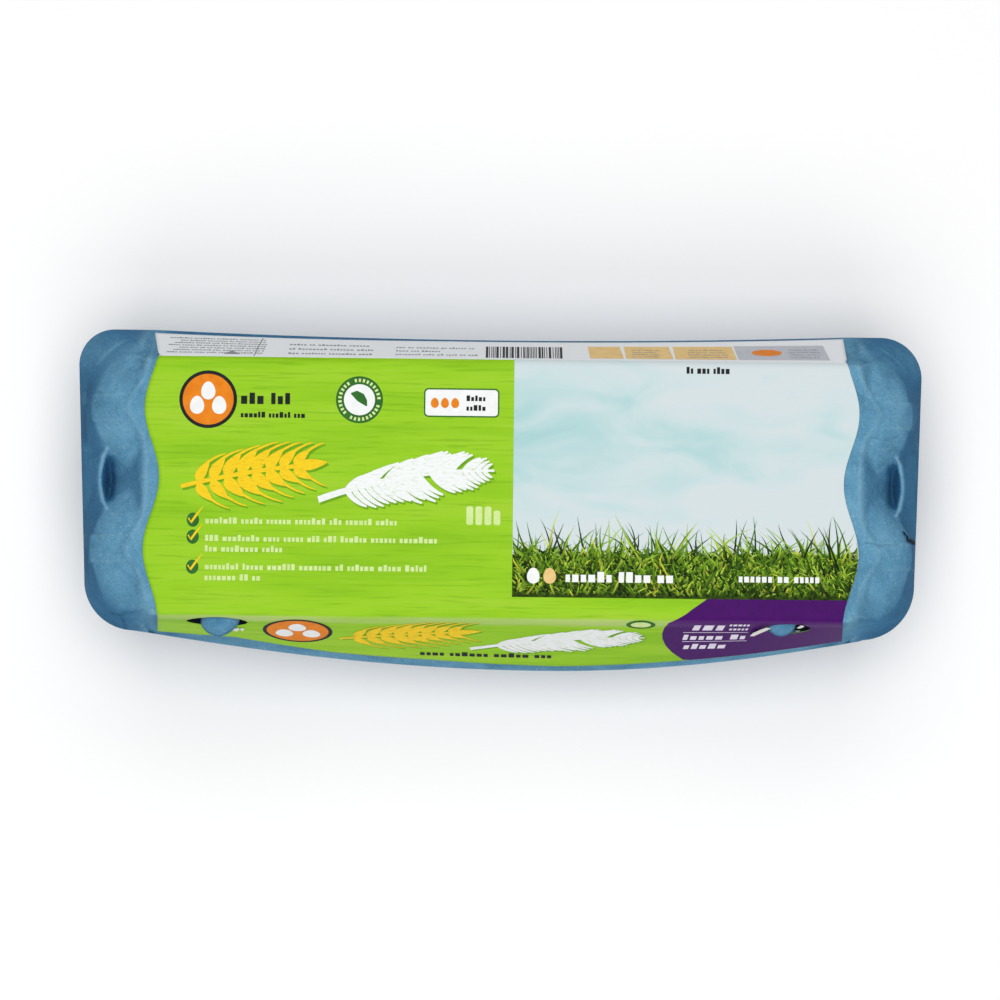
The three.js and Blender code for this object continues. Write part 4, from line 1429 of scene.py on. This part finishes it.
# The flat top left of the picture. Lines are (ink, from u, to u, v, height, seed, layer).
topPrint = dict(
    badge=(-103.8, 34.0, (10.2, 10.2), (9.0, 9.0), (2.5, 3.2), 3.9, -2.0, 3.1),
    stamp=(-50.4, 34.4),
    leaf=((-3.0, 2.2, 0.4), (-1.4, 2.0, 2.6), (0.4, 0.8, 3.4), (1.8, -0.8, 2.2), (2.6, -2.2, 0.4)),
    box=(-27.6, 28.6, -1.0, 38.8),
    boxEggs=(-23.8, -20.2, -16.6),
    wheat=(-113, 4.2, (1.0, 1.15)),
    feather=(-64.5, 2.6, (1.0, 1.2)),
    bars=(6.6, 6.6, 6.6, 5.2),
    bullets=(-8.6, -14.6, -25.2),
    tick=((-110.2, 0.6, 0.5), (-109.2, -0.9, 0.9), (-107.6, 1.4, 0.8), (-105.2, 4.6, 0.25)),
    lines=(("darkInk", -92.2, -74.5, 34.6, 4.2, 3), ("darkInk", -92.2, -68.5, 28.8, 2.1, 5),
           ("darkInk", -12.6, -2.6, 35.4, 2.1, 11, 3), ("darkInk", -12.6, -3.4, 32.0, 2.1, 12, 3),
           ("paleInk", -104.2, -34, -8.7, 2.35, 20), ("paleInk", -104.2, -22, -14.9, 2.35, 21),
           ("paleInk", -104.2, -76.5, -18.6, 2.35, 22), ("paleInk", -104.2, -25, -24.9, 2.35, 23),
           ("paleInk", -104.2, -83, -28.7, 2.35, 24)),
)


def layTop():
    layBadge(*topPrint["badge"])
    # round stamp with a broken ring and a leaf
    u, v = topPrint["stamp"]
    lay("deepGreenInk", oval(u, v, 8.3, 8.3, 56))
    lay("whiteInk", oval(u, v, 5.5, 5.5, 48), 2)
    for k in range(30):
        if k % 10 != 9:
            a, b = (k + 0.18) * math.pi / 15, (k + 0.72) * math.pi / 15
            corners = ((6.3, a), (7.5, a), (7.5, b), (6.3, b))
            lay("paleInk", [(u + r * math.cos(c), v + r * math.sin(c)) for r, c in corners], 2)
    lay("deepGreenInk", stroke([(u + a, v + b, wide) for a, b, wide in topPrint["leaf"]]), 3)
    # white box with three eggs
    u0, v0, u1, v1 = topPrint["box"]
    lay("deepGreenInk", roundedBox(u0, v0, u1, v1, 1.6))
    lay("whiteInk", roundedBox(u0 + 0.5, v0 + 0.5, u1 - 0.5, v1 - 0.5, 1.2), 2)
    for u in topPrint["boxEggs"]:
        lay("orangeInk", oval(u, 33.6, 1.4, 1.8, 24, ink["eggPoint"]), 3)
    layMotif(wheatShapes(), "yellowInk", *topPrint["wheat"])
    layMotif(featherShapes(), "brushWhiteInk", *topPrint["feather"])
    for k, tall in enumerate(topPrint["bars"]):
        lay("paleInk", roundedBox(-12.2 + 3.2 * k, -9.4, -9.8 + 3.2 * k, -9.4 + tall, 0.8))
    for v in topPrint["bullets"]:
        lay("deepGreenInk", oval(-108.6, v, 2.2, 2.5, 24))
        lay("yellowInk", stroke([(u, v + rise, wide) for u, rise, wide in topPrint["tick"]]), 2)
    for line in topPrint["lines"]:
        blockLine(*line)


picture = dict(
    left=4.2,
    low=-34.6,
    turfTop=-19.5,
    over=1.4,             # mm past the back fold
    eggs=(("whiteInk", 11.6), ("tanInk", 17.4)),
    eggHalf=(2.2, 2.8),
    lines=(("darkInk", 65, 81, 46.0, 2.2, 31, 2), ("whiteInk", 23, 67, -27.2, 3.9, 33, 6.2),
           ("whiteInk", 84, 114, -27.1, 3.0, 35, 6.2)),
    seed=51,
)


def layPicture():
    left, low, turfTop = [picture[name] for name in ("left", "low", "turfTop")]
    high = foldBackV + picture["over"]
    right = [(float(labelReach(v)) - 0.03, v) for v in np.linspace(low, high, 40)]
    lay("skyInk", [(left, high), (left, low)] + right)
    draw = random.Random(picture["seed"])
    turf = [(left, low), (left, turfTop)]
    turf += [(u, turfTop + draw.uniform(-1.2, 1.2)) for u in np.arange(7, 123, 3)]
    turf += [(float(labelReach(v)) - 0.06, v) for v in (-20, -24, -28, -32, low)]
    lay("turfInk", turf, 3)
    for name, u in picture["eggs"]:
        lay(name, oval(u, -27.0, *picture["eggHalf"], 32, ink["eggPoint"]), 6)
    for line in picture["lines"]:
        blockLine(*line)


# The right window's outline on the front face of the paper, drawn in a little.
def windowOutline(inset=0.2):
    points = []
    for a in np.linspace(0, 2 * math.pi, 40, endpoint=False):
        u = window["paperX"][1] + (window["paperHalf"][1] - inset) * math.cos(a)
        z = window["z"] + (window["halfHeight"] - inset) * math.sin(a)
        dz = paperFace(u, True, label["lift"])[2]
        points.append((u, foldFrontV - (z - lid["top"] - label["lift"]) / float(dz)))
    return points


# The front face. Lines as on the top, with the blocks' width and slant at their ends.
frontPrint = dict(
    field=((66.0, -73.8), (61.8, -67.5), (59.3, -62.0), (57.9, -56.5), (57.6, -52.0), (58.2, -47.5),
           (59.6, -43.8), (63.6, -41.0), (68.5, -37.8), (73.0, -34.6)),
    lines=((68, 79, -46.4, 6.0, 61, 2, 0.5, 0.2), (81, 88, -44.8, 2.2, 62, 2, 0.5, 0.2),
           (81, 88, -48.2, 2.2, 63, 2, 0.5, 0.2), (65, 88, -55.0, 4.4, 64, 2, 0.5, 0.1),
           (65.5, 87, -62.6, 4.4, 65, 2, 0.5, 0.15)),
    rules={2: -51.2, 3: -58.6},        # v of the thin rules, by the line that they follow
    badge=(-71.8, -54.8, (12.4, 10.4), (11.0, 9.2), (3.1, 3.3), 4.8, -2.1, 3.2),
    wheat=(-57, -59.5, (0.98, 1.1)),
    feather=(-10.5, -62.5, (1.0, 1.15)),
    oval=(49.8, -45.4),
)


def layFront():
    reach = float(labelReach(foldFrontV))
    wider = label["frontFlare"][1]
    low = float(edgeV(reach, True)) + 0.15
    rightSide = [(float(labelReach(v)) - 0.03, v) for v in (-34.6, -37, -39, -41)]
    rightSide += [(reach + wider * k / 8 - 0.03, mix(foldFrontV, low, k / 8)) for k in range(9)]
    bottom = [(u, float(edgeV(u, True)) + 0.15) for u in np.linspace(reach, 68.5, 24)]
    lay("purpleInk", rightSide + bottom + list(frontPrint["field"]), 1, [windowOutline()])
    for k, line in enumerate(frontPrint["lines"]):
        blockLine("lilacInk", *line)
        if k in frontPrint["rules"]:
            v = frontPrint["rules"][k]
            lay("lilacInk", stroke([(65, v, 0.35), (88, v, 0.35)]), 2)
    layBadge(*frontPrint["badge"])
    layMotif(wheatShapes(), "yellowInk", *frontPrint["wheat"])
    layMotif(featherShapes(), "brushWhiteInk", *frontPrint["feather"])
    blockLine("darkInk", -28.5, 19, -70.6, 3.4, 71, 3)
    u, v = frontPrint["oval"]
    lay("deepGreenInk", oval(u, v, 5.2, 2.9))
    lay("paleInk", oval(u, v, 3.6, 1.9, 36), 2)


backPrint = dict(
    bars=(-6.0, 20.5, 51.5, 65.5),     # left, right, low and high of the row of bars
    barSeed=99,
    panels=((31, 43), (43.8, 60.5), (61.3, 83)),
    greyPanel=((83.6, 52.0), (116, 52.0), (114.5, 67.0), (82.5, 67.0)),
)


def layBack():
    for k in range(7):
        blockLine("greyInk", -119 + (k % 3) * 2, -84, 53.6 + 2.4 * k, 1.1, 80 + k, wide=0.7)
    lay("greyInk", stroke([(-88, 50.5, 0.4), (-86, 70.0, 0.4)]))
    lay("greyInk", [(-99, 52.2), (-93, 52.2), (-96, 55.8)])
    for k in range(3):
        blockLine("greyInk", -76, -46, 54.0 + 5.0 * k, 1.8, 90 + k)
        blockLine("greyInk", -38, -8 - 12 * (k % 2), 54.5 + 4.2 * k, 1.6, 95 + k)
    draw = random.Random(backPrint["barSeed"])
    u, right, low, high = backPrint["bars"]
    while u < right:
        bar = draw.choice((0.28, 0.28, 0.55, 0.85))
        lay("darkInk", box(u, low, u + bar, high))
        u += bar + draw.choice((0.3, 0.3, 0.55))
    for u0, u1 in backPrint["panels"]:
        lay("tanInk", [(u0, 52.0), (u1, 52.0), (u1 - 1.2, 66.5), (u0 - 0.6, 66.5)])
    for k in range(4):
        blockLine("greyInk", 66, 80, 54.4 + 2.6 * k, 1.0, 105 + k, 2)
        blockLine("greyInk", 46, 56, 54.4 + 2.6 * k, 1.0, 110 + k, 2)
    lay("paleGreyInk", backPrint["greyPanel"])
    lay("orangeInk", oval(94, 59.5, 5.4, 3.4, 36), 2)
    for k in range(4):
        blockLine("greyInk", 102, 113, 54.8 + 2.6 * k, 1.0, 115 + k, 2)


# Turns the noted shapes into thin sheets on the paper, one object for each ink. They are cut
# across where the paper bends.
def makePrints(inks):
    made = []
    cuts = [((u, 0, 0), (1, 0, 0)) for u in np.arange(-124, 125, ink["step"])]
    cuts += [((0, fold + s, 0), (0, 1, 0)) for fold in (foldFrontV, foldBackV)
             for s in np.linspace(-label["foldHalf"], label["foldHalf"], 7)]
    for name, jobs in printJobs.items():
        flat = bmesh.new()
        for number, (outline, layer, holes) in enumerate(jobs):
            rings = [[Vector((u, v, 0)) for u, v in ring] for ring in [outline, *holes]]
            height = layer + ink["stagger"] * (number % ink["staggers"])
            verts = [flat.verts.new((corner.x, corner.y, height)) for ring in rings for corner in ring]
            for a, b, c in tessellate_polygon(rings):
                if len({a, b, c}) == 3:
                    face = flat.faces.new((verts[a], verts[b], verts[c]))
                    face.normal_update()
                    if face.normal.z < 0:
                        face.normal_flip()
        for place, normal in cuts:
            geometry = flat.verts[:] + flat.edges[:] + flat.faces[:]
            bmesh.ops.bisect_plane(flat, geom=geometry, plane_co=place, plane_no=normal)
        bmesh.ops.delete(flat, geom=[v for v in flat.verts if not v.link_faces], context="VERTS")
        mesh = bpy.data.meshes.new(name)
        flat.to_mesh(mesh)
        flat.free()
        at = readPoints(mesh) / 1000
        writePoints(mesh, sheetPoints(at[:, 0], at[:, 1], label["lift"] + ink["layer"] * at[:, 2]))
        addSheetUv(mesh, at[:, :2] / 1000)
        mesh.materials.append(inks[name])
        made.append(linked(name, mesh))
    return made


grass = dict(
    density=1.35,         # blades to the square millimetre
    shortest=2.4,         # mm
    tallest=17.0,
    wide=0.75,
    bend=5.0,
    lean=0.75,            # radians
    rare=5.5,             # power that keeps the tall ones few
    seed=4,
    left=5.2,
    right=125.5,
    roots=(-34.0, -19.0),
    layer=3.3,            # layers of ink under it, and the most that it adds
    layers=2.4,
    greens=((0.0, "#1b2d07"), (0.3, "#375711"), (0.55, "#5f8f1c"), (0.78, "#8cbb2c"), (0.93, "#bcdc4e"),
            (1.0, "#d8d83e")),
    rootShade=0.3,
)


# Scatters blades over the band that holds their roots. Each is a strip that narrows to its tip,
# given its own height, lean, bend and tone.
def bladeTree(material):
    tree = bpy.data.node_groups.new("grassBlades", "GeometryNodeTree")
    tree.interface.new_socket("Geometry", in_out="INPUT", socket_type="NodeSocketGeometry")
    for name in ("Density", "Shortest", "Tallest", "Width", "Bend", "Lean", "Rare", "Thin"):
        tree.interface.new_socket(name, in_out="INPUT", socket_type="NodeSocketFloat")
    tree.interface.new_socket("Seed", in_out="INPUT", socket_type="NodeSocketInt")
    tree.interface.new_socket("Geometry", in_out="OUTPUT", socket_type="NodeSocketGeometry")
    add = functools.partial(addNode, tree)
    given = add("NodeGroupInput").outputs
    roots = add("GeometryNodeDistributePointsOnFaces", {
        "Mesh": given["Geometry"], "Density": given["Density"], "Seed": given["Seed"]},
        distribute_method="RANDOM")
    strip = add("GeometryNodeMeshGrid", {"Size X": 1.0, "Size Y": 1.0, "Vertices X": 2, "Vertices Y": 7})
    raised = add("GeometryNodeTransform", {"Geometry": strip, "Translation": (0, 0.5, 0)})
    x, y, z = add("SeparateXYZ", {0: add("GeometryNodeInputPosition")}).outputs
    ranked = add("GeometryNodeStoreNamedAttribute", {
        "Geometry": raised, "Name": "along", "Value": y}, data_type="FLOAT", domain="POINT")
    taper = add("Math", {0: y, 1: 1.6}, operation="POWER")
    left = add("Math", {0: 1.02, 1: taper}, operation="SUBTRACT")
    narrow = add("Math", {0: x, 1: left}, operation="MULTIPLY")
    blade = add("GeometryNodeSetPosition", {
        "Geometry": ranked, "Position": add("CombineXYZ", {0: narrow, 1: y, 2: z})})

    def chance(low, high, seedShift):
        seed = add("Math", {0: given["Seed"], 1: seedShift}, operation="ADD")
        return add("FunctionNodeRandomValue", {"Min": low, "Max": high, "Seed": seed}, data_type="FLOAT")

    def eitherWay(name, seedShift):
        return chance(add("Math", {0: given[name], 1: -1.0}, operation="MULTIPLY"), given[name], seedShift)

    few = add("Math", {0: chance(0.0, 1.0, 11), 1: given["Rare"]}, operation="POWER")
    tall = add("MapRange", {"Value": few, "To Min": given["Shortest"], "To Max": given["Tallest"]})
    blades = add("GeometryNodeInstanceOnPoints", {
        "Points": roots, "Instance": blade, "Rotation": add("CombineXYZ", {2: eitherWay("Lean", 12)}),
        "Scale": add("CombineXYZ", {0: given["Width"], 1: tall, 2: 1.0})})
    for name, value in (("tone", chance(0.0, 1.0, 13)), ("bend", eitherWay("Bend", 14)),
                        ("raise", chance(0.0, given["Thin"], 15))):
        blades = add("GeometryNodeStoreNamedAttribute", {
            "Geometry": blades, "Name": name, "Value": value}, data_type="FLOAT", domain="INSTANCE")
    solid = add("GeometryNodeRealizeInstances", {0: blades})
    along, bend, lift = [add("GeometryNodeInputNamedAttribute", {"Name": name}, data_type="FLOAT")
                         for name in ("along", "bend", "raise")]
    curve = add("Math", {0: along, 1: 2.0}, operation="POWER")
    sway = add("Math", {0: curve, 1: bend}, operation="MULTIPLY")
    drop = add("Math", {0: sway, 1: sway}, operation="MULTIPLY")
    dip = add("Math", {0: drop, 1: -60.0}, operation="MULTIPLY")
    grown = add("GeometryNodeSetPosition", {
        "Geometry": solid, "Offset": add("CombineXYZ", {0: sway, 1: dip, 2: lift})})
    painted = add("GeometryNodeSetMaterial", {"Geometry": grown, "Material": material})
    add("NodeGroupOutput", {0: painted})
    return tree


def makeGrass(material):
    height = lid["top"] + label["lift"] + ink["layer"] * grass["layer"]
    us = np.arange(grass["left"], grass["right"], 1.2)
    rows = np.array([(u + lid["sideShift"], v, height) for v in grass["roots"] for u in us])
    band = makeObject("grassBlades", rows, gridFaces(2, len(us)).tolist())
    sizes = dict(Shortest=grass["shortest"], Tallest=grass["tallest"], Width=grass["wide"],
                 Bend=grass["bend"], Thin=ink["layer"] * grass["layers"])
    plain = dict(Density=grass["density"] * 1e6, Seed=grass["seed"], Lean=grass["lean"], Rare=grass["rare"])
    grow(band, bladeTree(material), plain | {name: size / 1000 for name, size in sizes.items()})
    # keep the blades inside the printed picture
    at = readPoints(band.data)
    at[:, 1] = np.maximum(at[:, 1], picture["low"] + 0.1)
    right = labelReach(at[:, 1]) + lid["sideShift"] - 0.25
    at[:, 0] = np.clip(at[:, 0], picture["left"] + 0.1 + lid["sideShift"], right)
    writePoints(band.data, at)
    return band


view = dict(elevation=87.5, roll=0.63, distance=1300.0, span=359.5, target=(0.3, 0.6, 45.0), sensor=36)


def makeCamera():
    data = bpy.data.cameras.new("camera")
    data.sensor_width = view["sensor"]
    data.lens = view["sensor"] * view["distance"] / view["span"]
    data.clip_end = 20
    tilt = math.radians(view["elevation"])
    away = Vector((0, -math.cos(tilt), math.sin(tilt)))
    right = Vector((1, 0, 0))
    turn = Matrix((right, away.cross(right), away)).transposed().to_4x4()
    turn = turn @ Matrix.Rotation(math.radians(view["roll"]), 4, "Z")
    place = Vector(view["target"]) / 1000 + away * view["distance"] / 1000
    eye = linked("camera", data)
    eye.matrix_world = Matrix.Translation(place) @ turn
    bpy.context.scene.camera = eye


# Large soft lamps: place and size in metres, and power in watts.
studio = dict(
    fill=0.16,
    lamps=(("front", (0, -1.15, 1.35), (1.6, 0.8), 9.5), ("back", (0, 1.15, 1.35), (1.6, 0.8), 6.5),
           ("over", (0, 0, 1.75), (1.5, 1.5), 21.0)),
    aim=(0, 0, 0.04),
)
floorFinish = dict(pale="#fdfdfd", deep="#fafafa", driftScale=3.0, roughness=0.8, specular=0.5)


# A studio sweep of matt painted board, all but white, with a faint drift in its tone.
def sweepBoard():
    made, add = newMaterial("paleSweep")
    drift = add("TexNoise", {
        "Vector": add("TexCoord").outputs["Object"], "Scale": floorFinish["driftScale"], "Detail": 2})
    body = add("ValToRGB", {"Fac": drift}, stops=[(0.3, floorFinish["deep"]), (0.7, floorFinish["pale"])])
    return finished(made, add, body, floorFinish)


def makeStudio():
    size = 4000
    floor = makeObject("floor", [(-size, -size, 0), (size, -size, 0), (size, size, 0), (-size, size, 0)],
                       [(0, 1, 2, 3)], sweepBoard())
    world = bpy.data.worlds.new("studio")
    world.use_nodes = True
    glow = world.node_tree.nodes["Background"].inputs
    glow["Color"].default_value = (1, 1, 1, 1)
    glow["Strength"].default_value = studio["fill"]
    bpy.context.scene.world = world
    for name, place, size, power in studio["lamps"]:
        data = bpy.data.lights.new(name, "AREA")
        data.shape = "RECTANGLE"
        data.size, data.size_y = size
        data.energy = power
        lamp = linked(name, data)
        lamp.location = place
        lamp.rotation_euler = (Vector(studio["aim"]) - Vector(place)).to_track_quat("-Z", "Y").to_euler()
    bpy.context.scene.view_settings.view_transform = "Standard"


pulp = mouldedPulp()
paperBack = printInk("uncoatedPaper", "#e9e7e1", "#dcdad3", size=1.2)
paperFront = printedPaper()
print("materials ready")

lidPiece = makeLid(pulp)
print("lid", len(lidPiece.data.polygons))
rimPiece = makeTrayRim(pulp)
cupsPiece = makeTrayCups(pulp)
print("tray", len(cupsPiece.data.polygons))
buttons = makeLatchButtons(pulp)
labelPiece = makeLabel(paperFront, paperBack)
print("label", len(labelPiece.data.polygons))

layTop()
layPicture()
layFront()
layBack()
prints = makePrints(makeInks())
prints.append(makeGrass(bladePrint()))
prints.append(makeTornBits(paperBack))
print("print", len(prints), sum(len(p.data.polygons) for p in prints))

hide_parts("carton")
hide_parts("label")
for piece in (lidPiece, rimPiece, cupsPiece, buttons):
    markSurface(piece.data)
    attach(piece, "root")
tuneLid(lidPiece.data)
# painted shade on the latch buttons
tuneMark(buttons.data, "steep", lambda mark, x, y, z: np.maximum(mark, marks["buttonSteep"]))
for piece in [labelPiece] + prints:
    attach(piece, "root")

makeStudio()
makeCamera()
bpy.context.view_layer.update()
print("scene ready")
